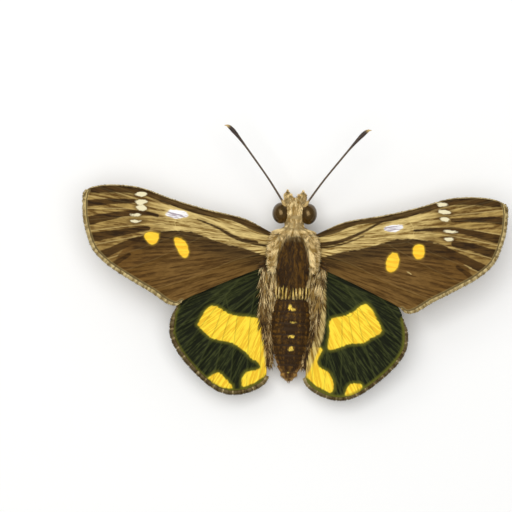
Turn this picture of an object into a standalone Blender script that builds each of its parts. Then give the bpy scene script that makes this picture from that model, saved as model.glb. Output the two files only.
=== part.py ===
"""A large day-flying moth at rest with its wings spread, at life size.

The moth faces -Y and stands on its six feet at z = 0, +Z up. Its left side is +X.
Sizes below are in millimetres, measured from a point on the midline, on the floor,
just behind the neck. The finished model is then moved so that the middle of its
bounding box is the origin.
"""

import math

import bmesh
import bpy
from mathutils import Matrix, Vector

MM = 0.001
GAP = 0.3

# Stations along the body: y, height of the axis, half width, half height.
HEAD = (
    (-3.35, 7.4, 1.7, 1.9),
    (-4.3, 7.4, 2.2, 2.3),
    (-6.0, 7.4, 2.9, 2.6),
    (-7.8, 7.3, 2.4, 2.5),
    (-9.0, 7.1, 1.6, 1.8),
    (-9.6, 7.0, 0.8, 0.9),
)
COLLAR = (
    (-3.05, 7.4, 2.3, 2.1),
    (-2.75, 7.5, 3.7, 2.6),
    (-2.1, 7.6, 4.6, 3.1),
    (-1.75, 7.6, 4.7, 3.1),
)
THORAX = (
    (-1.45, 7.6, 4.5, 3.1),
    (-0.6, 7.6, 4.7, 3.8),
    (1.8, 7.6, 4.8, 4.4),
    (5.5, 7.6, 4.9, 4.5),
    (9.5, 7.4, 4.8, 4.2),
    (12.0, 7.1, 4.3, 3.7),
    (12.7, 7.0, 3.6, 3.1),
)
ABDOMEN = (
    (13.0, 6.95, 3.6, 3.1),
    (13.7, 6.9, 4.35, 3.7),
    (16.2, 6.7, 4.9, 4.1),
    (19.3, 6.4, 5.05, 4.25),
    (22.8, 6.0, 4.8, 4.05),
    (27.1, 5.2, 3.7, 3.1),
    (29.6, 4.8, 2.85, 2.35),
    (31.3, 4.45, 1.9, 1.5),
    (32.0, 4.3, 1.0, 0.8),
)

EYE_CENTRE = (3.4, -6.1, 7.4)
EYE_HALF_SIZES = (1.65, 2.4, 2.5)

# Stations along a limb: x, y, z, half width, half height.
PALP = (
    (1.45, -8.0, 5.6, 0.8, 0.6),
    (1.6, -9.1, 6.1, 1.25, 0.8),
    (1.7, -10.0, 7.1, 1.2, 0.75),
    (1.75, -10.8, 8.1, 0.8, 0.55),
    (1.8, -11.2, 8.9, 0.35, 0.3),
)
ANTENNA = (
    (2.3, -7.9, 8.9, 0.45, 0.45),
    (3.2, -9.2, 9.5, 0.3, 0.3),
    (6.2, -13.6, 11.0, 0.26, 0.26),
    (10.0, -18.6, 12.2, 0.28, 0.28),
    (12.6, -21.9, 12.7, 0.5, 0.45),
    (14.6, -24.2, 12.9, 0.6, 0.5),
    (15.8, -25.2, 13.0, 0.4, 0.35),
    (16.6, -25.3, 13.3, 0.25, 0.25),
)
TEGULA = (
    (3.5, -1.4, 10.4, 0.5, 0.35),
    (4.0, -0.6, 10.9, 1.05, 0.75),
    (4.2, 1.6, 11.2, 1.25, 0.85),
    (4.2, 4.4, 11.3, 1.05, 0.75),
    (4.0, 6.6, 11.3, 0.6, 0.4),
)

# Each leg: coxa inside the chest, its lower end, knee, end of shin, foot, toe.
LEG_THICKNESS = (0.7, 0.6, 0.62, 0.42, 0.36, 0.28, 0.26)
TARSUS_HEIGHT = 0.24
HEEL_SHARE = 0.2
LEGS = {
    "fore": (
        (1.6, 1.0, 5.2),
        (2.4, -0.2, 2.9),
        (4.6, -0.9, 4.6),
        (6.6, -1.4, 5.7),
        (9.8, -1.0, 1.1),
    ),
    "mid": (
        (1.9, 3.0, 5.2),
        (2.9, 3.0, 2.7),
        (6.2, 3.4, 4.9),
        (8.6, 3.8, 6.0),
        (13.0, 5.4, 1.1),
    ),
    "hind": (
        (1.9, 6.6, 5.2),
        (2.9, 7.3, 2.6),
        (5.4, 9.2, 4.5),
        (7.2, 10.6, 5.6),
        (9.8, 18.6, 1.1),
    ),
}
TOES = {"fore": (13.8, -2.0), "mid": (18.0, 7.6), "hind": (10.9, 24.6)}

# Wing outlines in plan, from the root to the tip: x, y.
FOREWING_COSTA = (
    (3.2, -0.6),
    (7.7, -2.9),
    (12.0, -4.6),
    (20.3, -6.3),
    (27.6, -8.2),
    (34.8, -10.5),
    (41.1, -11.0),
    (45.6, -10.4),
    (47.5, -9.2),
    (48.1, -7.6),
)
FOREWING_BACK = (
    (3.2, 4.9),
    (15.6, 10.3),
    (25.8, 16.0),
    (28.6, 15.4),
    (31.6, 13.5),
    (36.6, 10.5),
    (42.0, 7.2),
    (45.7, 3.4),
    (47.7, -2.4),
    (48.1, -6.2),
)
HINDWING_COSTA = (
    (3.2, 5.4),
    (12.0, 6.4),
    (20.0, 9.4),
    (25.9, 13.9),
    (27.3, 18.6),
)
HINDWING_INNER = (
    (3.2, 8.6),
    (4.2, 16.0),
    (4.6, 24.0),
    (4.5, 29.0),
    (4.5, 31.6),
)
HINDWING_MARGIN = (
    (27.3, 18.6),
    (27.2, 22.9),
    (24.8, 27.4),
    (20.4, 31.9),
    (16.4, 34.8),
    (12.6, 35.7),
    (8.6, 34.9),
    (5.6, 33.2),
    (4.5, 31.6),
)

# The right hindwing is drawn back a little further than the left one: degrees.
HINDWING_HINGE = (3.2, 7.0)
RIGHT_HINDWING_SWEEP = 3.2

# The wings' height: both rise from the hinge, and level out towards the tip.
WING_HINGE_HEIGHT = 9.0
WING_RISE = 0.16
WING_LEVELLING = 0.0012
FOREWING_ARCH = 0.5
HINDWING_BELOW = 1.25
HINDWING_DROOP = 0.10
WING_THICKNESS = 0.56

BODY_SIDES = 22
LIMB_SIDES = 8
BODY_STEPS = 2
LIMB_STEPS = 2
LEG_STEPS = 3
FOREWING_CELLS = (24, 7)
HINDWING_CELLS = (16, 11)
EYE_CELLS = (18, 11)

BROWN_FUR = ((0.13, 0.078, 0.035), 0.85)
GOLDEN_FUR = ((0.42, 0.30, 0.13), 0.85)
EYE_BROWN = ((0.045, 0.03, 0.012), 0.15)
HORN_BROWN = ((0.10, 0.06, 0.03), 0.55)
STRAW_WING = ((0.40, 0.28, 0.12), 0.75)
DARK_WING = ((0.075, 0.078, 0.032), 0.75)


def clear_scene():
    for obj in list(bpy.data.objects):
        bpy.data.objects.remove(obj, do_unlink=True)


def material(name, finish):
    """A plain Principled material of one colour and roughness."""
    colour, roughness = finish
    made = bpy.data.materials.new(name)
    made.use_nodes = True
    surface = made.node_tree.nodes["Principled BSDF"]
    surface.inputs["Base Color"].default_value = (*colour, 1.0)
    surface.inputs["Roughness"].default_value = roughness
    surface.inputs["Metallic"].default_value = 0.0
    return made


def smooth_between(stations, steps):
    """The stations with steps - 1 more between each two, on one Catmull-Rom curve."""
    points = [Vector(station) for station in stations]
    ends = [2 * points[0] - points[1]] + points + [2 * points[-1] - points[-2]]
    found = []
    for before, start, end, after in zip(ends, ends[1:], ends[2:], ends[3:]):
        for step in range(steps):
            t = step / steps
            bend = (2 * before - 5 * start + 4 * end - after) * t * t
            twist = (3 * start - before - 3 * end + after) * t * t * t
            found.append((2 * start + (end - before) * t + bend + twist) / 2)
    return found + [points[-1]]


def point_along(curve, share):
    """The point at this share of the curve's number of spans."""
    place = share * (len(curve) - 1)
    start = min(int(place), len(curve) - 2)
    return curve[start].lerp(curve[start + 1], place - start)


def ring_points(centre, along, half_width, half_height, sides):
    """An ellipse of points across the direction called along."""
    across = along.cross(Vector((0, 0, 1))).normalized()
    upward = across.cross(along).normalized()
    points = []
    for side in range(sides):
        angle = math.tau * (side + 0.5) / sides
        offset = across * half_width * math.cos(angle) + upward * half_height * math.sin(angle)
        points.append(centre + offset)
    return points


def loft(bm, rings):
    """Carries one ring of edges from each set of points to the next, and caps both ends."""
    ring = bmesh.ops.create_circle(bm, segments=len(rings[0]), radius=MM)["verts"]
    edges = list(bm.edges)
    for vertex, point in zip(ring, rings[0]):
        vertex.co = point
    bmesh.ops.contextual_create(bm, geom=edges)
    for points in rings[1:]:
        made = bmesh.ops.extrude_edge_only(bm, edges=edges)["geom"]
        fresh = {item for item in made if isinstance(item, bmesh.types.BMVert)}
        edges = [item for item in made if isinstance(item, bmesh.types.BMEdge)]
        edges = [edge for edge in edges if fresh.issuperset(edge.verts)]
        ring = [
            next(edge.other_vert(old) for edge in old.link_edges if edge.other_vert(old) in fresh)
            for old in ring
        ]
        for vertex, point in zip(ring, points):
            vertex.co = point
    bmesh.ops.contextual_create(bm, geom=edges)


def new_object(name, bm, look):
    bmesh.ops.recalc_face_normals(bm, faces=bm.faces)
    mesh = bpy.data.meshes.new(name)
    bm.to_mesh(mesh)
    bm.free()
    mesh.shade_smooth()
    mesh.set_sharp_from_angle(angle=math.radians(50))
    if look:
        mesh.materials.append(look)
    obj = bpy.data.objects.new(name, mesh)
    bpy.context.scene.collection.objects.link(obj)
    return obj


def swept(name, stations, sides, look, grow=0.0, floor=None, upright=False):
    """A closed body of elliptic rings along the stations, each x, y, z, half width, half height."""
    rings = []
    centres = [Vector(station[:3]) for station in stations]
    for index, station in enumerate(stations):
        before = centres[max(index - 1, 0)]
        after = centres[min(index + 1, len(centres) - 1)]
        along = after - before
        if upright:
            along = Vector((0, along.y, 0))
        along.normalize()
        centre = centres[index]
        if index in (0, len(stations) - 1):
            outward = -1 if index == 0 else 1
            centre = centre + along * grow * outward
        points = ring_points(centre, along, station[3] + grow, station[4] + grow, sides)
        if floor is not None:
            for point in points:
                point.z = max(point.z, floor)
        rings.append([point * MM for point in points])
    bm = bmesh.new()
    loft(bm, rings)
    return new_object(name, bm, look)


def trunk_piece(name, stations, look, grow=0.0):
    """A piece of the body on the midline, each station y, axis height, half width, half height."""
    curve = smooth_between(stations, BODY_STEPS)
    placed = [(0.0, y, z, width, height) for y, z, width, height in curve]
    return swept(name, placed, BODY_SIDES, look, grow, upright=True)


def as_cutter(obj):
    obj.hide_render = True
    obj.display_type = "WIRE"
    return obj


def cut(obj, *cutters):
    """Takes the cutters out of obj, which leaves the clearance that they were grown by."""
    for cutter in cutters:
        boolean = obj.modifiers.new("clear_of_" + cutter.name, "BOOLEAN")
        boolean.operation = "DIFFERENCE"
        boolean.solver = "EXACT"
        boolean.object = cutter


def mirrored(obj, name, sweep=0.0):
    """The same piece on the moth's right side, drawn back by sweep degrees, with the same cuts."""
    bm = bmesh.new()
    bm.from_mesh(obj.data)
    hinge = Vector((-HINDWING_HINGE[0], HINDWING_HINGE[1], 0)) * MM
    turn = Matrix.Rotation(-math.radians(sweep), 3, "Z")
    bmesh.ops.transform(bm, matrix=Matrix.Scale(-1, 4, Vector((1, 0, 0))), verts=bm.verts)
    bmesh.ops.rotate(bm, cent=hinge, matrix=turn, verts=bm.verts)
    copy = new_object(name, bm, obj.data.materials[0] if obj.data.materials else None)
    cut(copy, *[modifier.object for modifier in obj.modifiers])
    return copy


def eye(name, look, grow=0.0):
    bm = bmesh.new()
    columns, rows = EYE_CELLS
    bmesh.ops.create_uvsphere(bm, u_segments=columns, v_segments=rows, radius=1.0)
    sizes = [(half + grow) * MM for half in EYE_HALF_SIZES]
    bmesh.ops.scale(bm, vec=sizes, verts=bm.verts)
    bmesh.ops.translate(bm, vec=Vector(EYE_CENTRE) * MM, verts=bm.verts)
    return new_object(name, bm, look)


def wing_height(x):
    """Height of the wings' common surface above the floor, at x from the midline."""
    return WING_HINGE_HEIGHT + WING_RISE * x - WING_LEVELLING * x * x


def solid_wing(name, cells, place, look):
    """A grid of cells laid on the wing by place(along, across), then given its thickness."""
    bm = bmesh.new()
    columns, rows = cells
    bmesh.ops.create_grid(bm, x_segments=columns, y_segments=rows, size=0.5)
    for vertex in bm.verts:
        vertex.co = place(vertex.co.x + 0.5, vertex.co.y + 0.5) * MM
    bmesh.ops.remove_doubles(bm, verts=bm.verts, dist=GAP * MM / 10)
    bmesh.ops.recalc_face_normals(bm, faces=bm.faces)
    thickness = WING_THICKNESS * MM
    bmesh.ops.solidify(bm, geom=bm.faces[:], thickness=thickness)
    return new_object(name, bm, look)


def forewing(name, look):
    """Spans from the front edge to the back edge, column by column from root to tip."""
    front = smooth_between(FOREWING_COSTA, 4)
    back = smooth_between(FOREWING_BACK, 4)

    def place(along, across):
        lead = point_along(front, along)
        trail = point_along(back, along)
        point = lead.lerp(trail, across)
        arch = FOREWING_ARCH * 4 * across * (1 - across)
        return Vector((point.x, point.y, wing_height(point.x) + arch))

    return solid_wing(name, FOREWING_CELLS, place, look)


def hindwing(name, look):
    """A fan of spokes from the root to the rounded margin, between costa and inner edge."""
    costa = smooth_between(HINDWING_COSTA, 4)
    inner = smooth_between(HINDWING_INNER, 4)
    margin = smooth_between(HINDWING_MARGIN, 4)

    def place(across, along):
        start = costa[0].lerp(inner[0], across)
        end = point_along(margin, across)
        edges = point_along(costa, along).lerp(point_along(inner, along), across)
        straight = start.lerp(end, along)
        chord = costa[0].lerp(costa[-1], along).lerp(inner[0].lerp(inner[-1], along), across)
        point = straight + edges - chord
        height = wing_height(point.x) - HINDWING_BELOW - HINDWING_DROOP * (point.y - inner[0].y)
        return Vector((point.x, point.y, height))

    return solid_wing(name, HINDWING_CELLS, place, look)


def leg(name, pair, look):
    """Coxa, thigh and shin down to the floor, then a foot that lies flat on it."""
    toe_x, toe_y = TOES[pair]
    shin_end = Vector(LEGS[pair][-1])
    toe = Vector((toe_x, toe_y, TARSUS_HEIGHT))
    heel = shin_end.lerp(toe, HEEL_SHARE)
    heel.z = TARSUS_HEIGHT
    path = [Vector(point) for point in LEGS[pair]] + [heel, toe]
    stations = [(*point, half, half) for point, half in zip(path, LEG_THICKNESS)]
    curve = []
    for start, end in zip(stations, stations[1:]):
        for step in range(LEG_STEPS):
            curve.append(tuple(Vector(start).lerp(Vector(end), step / LEG_STEPS)))
    curve.append(stations[-1])
    return swept(name, curve, LIMB_SIDES, look, floor=0.0)


def limb(name, stations, look):
    return swept(name, smooth_between(stations, LIMB_STEPS), LIMB_SIDES, look)


def set_origin_under_the_middle(objects):
    """Moves every mesh so that the whole model's bounding box is centred on x = y = 0."""
    bpy.context.view_layer.update()
    graph = bpy.context.evaluated_depsgraph_get()
    corners = [
        Vector(corner)
        for obj in objects
        if not obj.hide_render
        for corner in obj.evaluated_get(graph).bound_box
    ]
    low_y = min(corner.y for corner in corners)
    high_y = max(corner.y for corner in corners)
    shift = Matrix.Translation((0, -(low_y + high_y) / 2, 0))
    for obj in objects:
        obj.data.transform(shift)


def build():
    clear_scene()
    brown = material("brown_fur", BROWN_FUR)
    golden = material("golden_fur", GOLDEN_FUR)
    eye_brown = material("eye", EYE_BROWN)
    horn = material("horn", HORN_BROWN)
    straw = material("forewing", STRAW_WING)
    dark = material("hindwing", DARK_WING)

    thorax_space = as_cutter(trunk_piece("thorax_space", THORAX, None, GAP))
    abdomen_space = as_cutter(trunk_piece("abdomen_space", ABDOMEN, None, GAP))
    head_space = as_cutter(trunk_piece("head_space", HEAD, None, GAP))
    eye_space = as_cutter(eye("eye_space_left", None, GAP))
    eye_space_right = as_cutter(mirrored(eye_space, "eye_space_right"))

    head = trunk_piece("head", HEAD, golden)
    cut(head, eye_space, eye_space_right)
    trunk_piece("collar", COLLAR, golden)
    trunk_piece("thorax", THORAX, brown)
    trunk_piece("abdomen", ABDOMEN, brown)

    left = [
        eye("eye_left", eye_brown),
        limb("palp_left", PALP, golden),
        limb("antenna_left", ANTENNA, horn),
        limb("tegula_left", TEGULA, golden),
        forewing("forewing_left", straw),
        hindwing("hindwing_left", dark),
    ]
    cut(left[1], head_space)
    cut(left[2], head_space, eye_space)
    cut(left[3], thorax_space)
    cut(left[4], thorax_space)
    cut(left[5], thorax_space, abdomen_space)
    for pair in LEGS:
        piece = leg(f"leg_{pair}_left", pair, horn)
        cut(piece, thorax_space)
        left.append(piece)
    for piece in left:
        sweep = RIGHT_HINDWING_SWEEP if piece.name.startswith("hindwing") else 0.0
        mirrored(piece, piece.name.replace("left", "right"), sweep)
    set_origin_under_the_middle(list(bpy.context.scene.collection.objects))


build()
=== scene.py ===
import math

import bmesh
import bpy
import numpy as np
from mathutils import Matrix, Vector, noise
from mathutils.bvhtree import BVHTree


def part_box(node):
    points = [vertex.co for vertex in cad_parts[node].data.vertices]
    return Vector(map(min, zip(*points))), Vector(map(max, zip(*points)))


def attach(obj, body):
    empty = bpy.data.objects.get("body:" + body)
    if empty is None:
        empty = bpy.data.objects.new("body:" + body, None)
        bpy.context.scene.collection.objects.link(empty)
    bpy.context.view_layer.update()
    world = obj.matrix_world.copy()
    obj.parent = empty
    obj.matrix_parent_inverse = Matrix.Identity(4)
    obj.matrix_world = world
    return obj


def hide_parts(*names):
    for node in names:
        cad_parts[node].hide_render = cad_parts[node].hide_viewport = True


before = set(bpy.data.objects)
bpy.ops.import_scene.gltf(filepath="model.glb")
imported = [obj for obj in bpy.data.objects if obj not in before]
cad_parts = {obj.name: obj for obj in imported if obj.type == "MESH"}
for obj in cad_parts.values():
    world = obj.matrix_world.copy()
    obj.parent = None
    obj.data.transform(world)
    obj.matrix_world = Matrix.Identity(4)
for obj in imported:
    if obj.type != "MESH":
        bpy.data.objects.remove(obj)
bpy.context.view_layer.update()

MM = 0.001
CHEST_START = -1.45
NECK = np.array((0.0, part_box("thorax")[0].y - CHEST_START * MM, 0.0))


def metres(places):
    """Places in millimetres from the neck, as points of the frame."""
    return np.asarray(places, float) * MM + NECK


def millimetres(points):
    """Points of the frame, as places in millimetres from the neck."""
    return (np.asarray(points, float) - NECK) / MM


# --- Floor, light and camera ---
# The specimen stands on a sheet of pale card under a softbox and a top lamp, in an evenly lit white room.
# The camera hangs straight above it on a long lens, turned by the two degrees that the moth leans.
CARD_SIZE = 3000.0
CARD_WHITE = (0.9, 0.9, 0.89, 1.0)
CARD_ROUGHNESS = 0.9
ROOM_WHITE = (1.0, 1.0, 1.0, 1.0)
ROOM_STRENGTH = 0.4
LAMPS = {  # place and side in millimetres, watts
    "softbox": ((320.0, -420.0, 760.0), 620.0, 1.7),
    "top_lamp": ((30.0, -60.0, 700.0), 600.0, 3.6),
}
LENS = 200.0
FILM_WIDTH = 36.0
VIEW_WIDTH = 115.7
VIEW_CENTRE = (8.45, 3.92)
VIEW_HEIGHT = 12.0
LEAN = 2.04

scene = bpy.context.scene
scene.view_settings.view_transform = "Standard"


def placed(name, data):
    """A new object of the scene."""
    piece = bpy.data.objects.new(name, data)
    scene.collection.objects.link(piece)
    return piece


def shown(name, bm, material):
    """The bmesh as a smooth object in this material."""
    for face in bm.faces:
        face.smooth = True
    mesh = bpy.data.meshes.new(name)
    bm.to_mesh(mesh)
    bm.free()
    mesh.materials.append(material)
    return placed(name, mesh)


card_paint = bpy.data.materials.new("white_card")
card_paint.use_nodes = True
card_shader = card_paint.node_tree.nodes["Principled BSDF"].inputs
card_shader["Base Color"].default_value = CARD_WHITE
card_shader["Roughness"].default_value = CARD_ROUGHNESS
card_bm = bmesh.new()
bmesh.ops.create_grid(card_bm, x_segments=4, y_segments=4, size=CARD_SIZE * MM / 2)
shown("card_floor", card_bm, card_paint)

scene.world = bpy.data.worlds.new("white_room")
scene.world.use_nodes = True
room_light = scene.world.node_tree.nodes["Background"].inputs
room_light["Color"].default_value = ROOM_WHITE
room_light["Strength"].default_value = ROOM_STRENGTH

for name, (place, side, watts) in LAMPS.items():
    lamp_data = bpy.data.lights.new(name, "AREA")
    lamp_data.size = side * MM
    lamp_data.energy = watts
    lamp = placed(name, lamp_data)
    lamp.location = Vector(place) * MM
    lamp.rotation_euler = lamp.location.to_track_quat("Z", "Y").to_euler()

lens_data = bpy.data.cameras.new("camera")
lens_data.lens = LENS
lens_data.sensor_width = FILM_WIDTH
lens_data.clip_start = 0.01
scene.camera = placed("camera", lens_data)
scene.camera.location = metres((*VIEW_CENTRE, VIEW_HEIGHT + VIEW_WIDTH * LENS / FILM_WIDTH))
scene.camera.rotation_euler = (0.0, 0.0, math.radians(180.0 + LEAN))

# --- Body skin ---
# Head, palps, collar, shoulder flaps, chest and abdomen are one shell of thin chitin, ringed at the abdomen.
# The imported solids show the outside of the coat, so they are merged, rounded and drawn in by its depth.
SIDES = {"left": 1, "right": -1}
SKIN_NODES = (
    "head", "palp_left", "palp_right", "collar", "tegula_left", "tegula_right", "thorax", "abdomen",
)
COAT_DEPTH = 0.42
CLOSING = 0.3
VOXEL = 0.24
ROUNDING_PASSES = 7
ROUNDING = 0.5
SOCKET_CENTRE = (2.5, -6.1, 7.45)
SOCKET_HALF_SIZES = (1.7, 2.4, 2.8)
RING_PLACES = (15.9, 18.6, 21.3, 23.9, 26.3, 28.5, 30.3)
RING_DEPTH = 0.2
RING_WIDTH = 0.3


def mirrored(places, side):
    """Places or ways of the left half, carried to this side."""
    return np.asarray(places) * (SIDES[side], 1, 1)


def points_of(mesh):
    """The mesh's points, in millimetres."""
    found = np.zeros(len(mesh.vertices) * 3)
    mesh.vertices.foreach_get("co", found)
    return millimetres(found.reshape(-1, 3))


def rounded(bm, passes):
    """The bmesh smoothed by this many passes."""
    for _ in range(passes):
        bmesh.ops.smooth_vert(
            bm, verts=bm.verts, factor=ROUNDING, use_axis_x=True, use_axis_y=True, use_axis_z=True
        )


def joined_skin():
    """One rounded shell over all the nodes of flesh."""
    bm = bmesh.new()
    for name in SKIN_NODES:
        bm.from_mesh(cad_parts[name].data)
    bmesh.ops.remove_doubles(bm, verts=bm.verts, dist=0.001 * MM)
    bm.normal_update()
    for vert in bm.verts:
        vert.co += vert.normal * CLOSING * MM
    size = Matrix.Diagonal((*(Vector(SOCKET_HALF_SIZES) * MM), 1.0))
    for side in SIDES:
        socket = Matrix.Translation(metres(mirrored(SOCKET_CENTRE, side))) @ size
        bmesh.ops.create_uvsphere(bm, u_segments=24, v_segments=16, radius=1.0, matrix=socket)
    rough = shown("rough_skin", bm, card_paint)
    remesh = rough.modifiers.new("one_shell", "REMESH")
    remesh.mode = "VOXEL"
    remesh.voxel_size = VOXEL * MM
    merged = rough.evaluated_get(bpy.context.evaluated_depsgraph_get())
    bm = bmesh.new()
    bm.from_mesh(bpy.data.meshes.new_from_object(merged))
    bpy.data.objects.remove(rough)
    rounded(bm, ROUNDING_PASSES)
    bm.normal_update()
    for vert in bm.verts:
        along = millimetres(vert.co)[1]
        ring = sum(math.exp(-(((along - place) / RING_WIDTH) ** 2)) for place in RING_PLACES)
        vert.co -= vert.normal * (CLOSING + COAT_DEPTH + RING_DEPTH * ring) * MM
    rounded(bm, 1)
    bmesh.ops.recalc_face_normals(bm, faces=bm.faces)
    return bm


# The markings are told by place, once, so that the skin and every lock rooted in it agree. The tables hold
# half widths along the body, and the back's pale marks as centre and half sizes.
DISC_HALF_WIDTHS = (
    (-2.2, 0), (-1.6, 1.1), (-0.6, 2), (0.8, 2.7), (2.6, 3.4), (4.6, 3.9), (8.5, 4.1), (10, 3.7),
    (11.2, 2.6), (12, 1),
)
BELLY_HALF_WIDTHS = ((13, 3.6), (16.2, 4.9), (19.3, 5.05), (22.8, 4.8), (27.1, 3.7), (29.6, 2.85), (32, 1))
SADDLE_SHARES = ((13, 0.95), (20, 0.93), (25, 0.88), (28.5, 0.78), (30.5, 0.55), (32, 0.1))
BACK_MARKS = (
    (0.3, 15.2, 0.4, 0.6), (-0.2, 15.7, 0.6, 0.3), (-0.5, 18.6, 0.75, 0.2), (-0.2, 21.8, 0.7, 0.22),
    (-0.2, 24.8, 0.7, 0.45), (0.2, 30.4, 0.3, 0.3),
)
FLANKS = (4.8, 6.8)
BACK_HEIGHTS = (5.6, 6.6)
BELLY_SIDES = (3.0, 5.6)
BELLY_AMBER = 0.35
DISC_BLUR = (-0.7, 0.5)
SADDLE_BLUR = (-0.5, 0.3)
BACK_MARK_BLUR = (-0.2, 0.15)
CHEST_FRONT = (-2.2, 0.6)
CHEST_REAR = (11.6, 12.4)
BELLY_FRONT = (12.6, 13.4)


def soft_step(value, start, end):
    """0 before start, 1 after end, smooth between."""
    share = np.clip((value - start) / (end - start), 0.0, 1.0)
    return share * share * (3.0 - 2.0 * share)


def within(value, edge, blur):
    """1 inside an edge and 0 outside it, blurred from this far inside to this far outside."""
    return 1.0 - soft_step(value, edge + blur[0], edge + blur[1])


def columns(*values):
    """Arrays and plain numbers side by side, as rows of one array."""
    return np.column_stack(np.broadcast_arrays(*values))


def body_marks(places):
    """How dark, how pale yellow and how amber the coat is."""
    x, y, z = places.T
    side = np.abs(x)
    above = soft_step(z, *FLANKS)
    disc_edge = np.interp(y, *zip(*DISC_HALF_WIDTHS))
    on_chest = soft_step(y, *CHEST_FRONT) * (1.0 - soft_step(y, *CHEST_REAR))
    disc = on_chest * within(side, disc_edge, DISC_BLUR) * above
    saddle_edge = np.interp(y, *zip(*BELLY_HALF_WIDTHS)) * np.interp(y, *zip(*SADDLE_SHARES))
    on_belly = soft_step(y, *BELLY_FRONT)
    saddle = on_belly * within(side, saddle_edge, SADDLE_BLUR) * above
    pale = np.zeros(len(places))
    for mark_x, mark_y, half_x, half_y in BACK_MARKS:
        reach = np.hypot((x - mark_x) / half_x, (y - mark_y) / half_y)
        pale = np.maximum(pale, within(reach, 1.0, BACK_MARK_BLUR) * soft_step(z, *BACK_HEIGHTS))
    amber = on_belly * (BELLY_AMBER + (1 - BELLY_AMBER) * soft_step(z, *BELLY_SIDES))
    return columns(np.maximum(disc, saddle) * (1.0 - pale), pale, amber)


def write_fields(mesh, **fields):
    """One number or one vector for each point, as named attributes."""
    for name, values in fields.items():
        values = np.asarray(values, np.float32)
        kind, key = ("FLOAT_VECTOR", "vector") if values.ndim == 2 else ("FLOAT", "value")
        mesh.attributes.new(name, kind, "POINT").data.foreach_set(key, values.ravel())


def paint(code):
    """A colour code as linear light."""
    channels = [int(code[start : start + 2], 16) / 255 for start in (1, 3, 5)]
    return (*(c / 12.92 if c <= 0.04045 else ((c + 0.055) / 1.055) ** 2.4 for c in channels), 1.0)


class Nodes:
    """A node tree whose nodes are each made, set and fed in one call."""

    def __init__(self, tree):
        self.tree = tree

    def feed(self, inputs, feeds):
        """Sockets linked, and plain values written, to these inputs."""
        for name, value in feeds.items():
            if isinstance(value, bpy.types.NodeSocket):
                self.tree.links.new(value, inputs[name])
            else:
                inputs[name].default_value = value

    def node(self, kind, feeds, **settings):
        """The outputs of a new shader node."""
        made = self.tree.nodes.new("ShaderNode" + kind)
        for name, value in settings.items():
            setattr(made, name, value)
        self.feed(made.inputs, feeds)
        return made.outputs

    def place(self):
        return self.node("TexCoord", {})["Object"]

    def field(self, name, output="Fac"):
        return self.node("Attribute", {}, attribute_name=name)[output]

    def math(self, way, *values):
        return self.node("Math", dict(enumerate(values)), operation=way)[0]

    def times(self, first, second):
        return self.math("MULTIPLY", first, second)

    def mix(self, factor, first, second, way="MIX"):
        return self.node("Mix", {0: factor, 6: first, 7: second}, data_type="RGBA", blend_type=way)[2]

    def spread(self, value, low, high, new_low=0.0, new_high=1.0):
        """A value carried smoothly from one range to another."""
        feeds = {"Value": value, "From Min": low, "From Max": high, "To Min": new_low, "To Max": new_high}
        return self.node("MapRange", feeds, interpolation_type="SMOOTHSTEP")["Result"]

    def noise(self, place, scale, detail, roughness=0.5):
        feeds = {"Vector": place, "Scale": scale, "Detail": detail, "Roughness": roughness}
        return self.node("TexNoise", feeds)["Fac"]

    def cells(self, place, scale):
        return self.node("TexVoronoi", {"Vector": place, "Scale": scale})["Distance"]


class Finish(Nodes):
    """A new material and the nodes that feed its one Principled shader."""

    def __init__(self, name, colour, roughness, specular=0.5, sheen=0.0):
        self.material = bpy.data.materials.new(name)
        self.material.use_nodes = True
        super().__init__(self.material.node_tree)
        self.shader = self.tree.nodes["Principled BSDF"].inputs
        levels = {"Roughness": roughness, "Specular IOR Level": specular, "Sheen Weight": sheen}
        self.feed(self.shader, {"Base Color": colour, **levels})

    def show(self, colour):
        self.feed(self.shader, {"Base Color": colour})

    def bump(self, height, strength, depth, **settings):
        """Relief of this depth in millimetres."""
        feeds = {"Height": height, "Strength": strength, "Distance": depth * MM}
        self.feed(self.shader, {"Normal": self.node("Bump", feeds, **settings)["Normal"]})


def node_group(name, inputs, outputs):
    """A new node group: its nodes, what it is given and what it results in."""
    tree = bpy.data.node_groups.new(name, "ShaderNodeTree")
    for way, sockets in (("INPUT", inputs), ("OUTPUT", outputs)):
        for socket, kind in sockets.items():
            tree.interface.new_socket(socket, in_out=way, socket_type="NodeSocket" + kind)
    return Nodes(tree), tree.nodes.new("NodeGroupInput").outputs, tree.nodes.new("NodeGroupOutput").inputs


GOLD_DEEP, GOLD, GOLD_LIGHT, UMBER_DEEP = map(paint, ("#8C6C2E", "#CFAE69", "#F4DEA6", "#342004"))
UMBER, AMBER, AMBER_DEEP, STRAW_YELLOW = map(paint, ("#664612", "#A07A3E", "#623E14", "#F3D158"))


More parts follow.
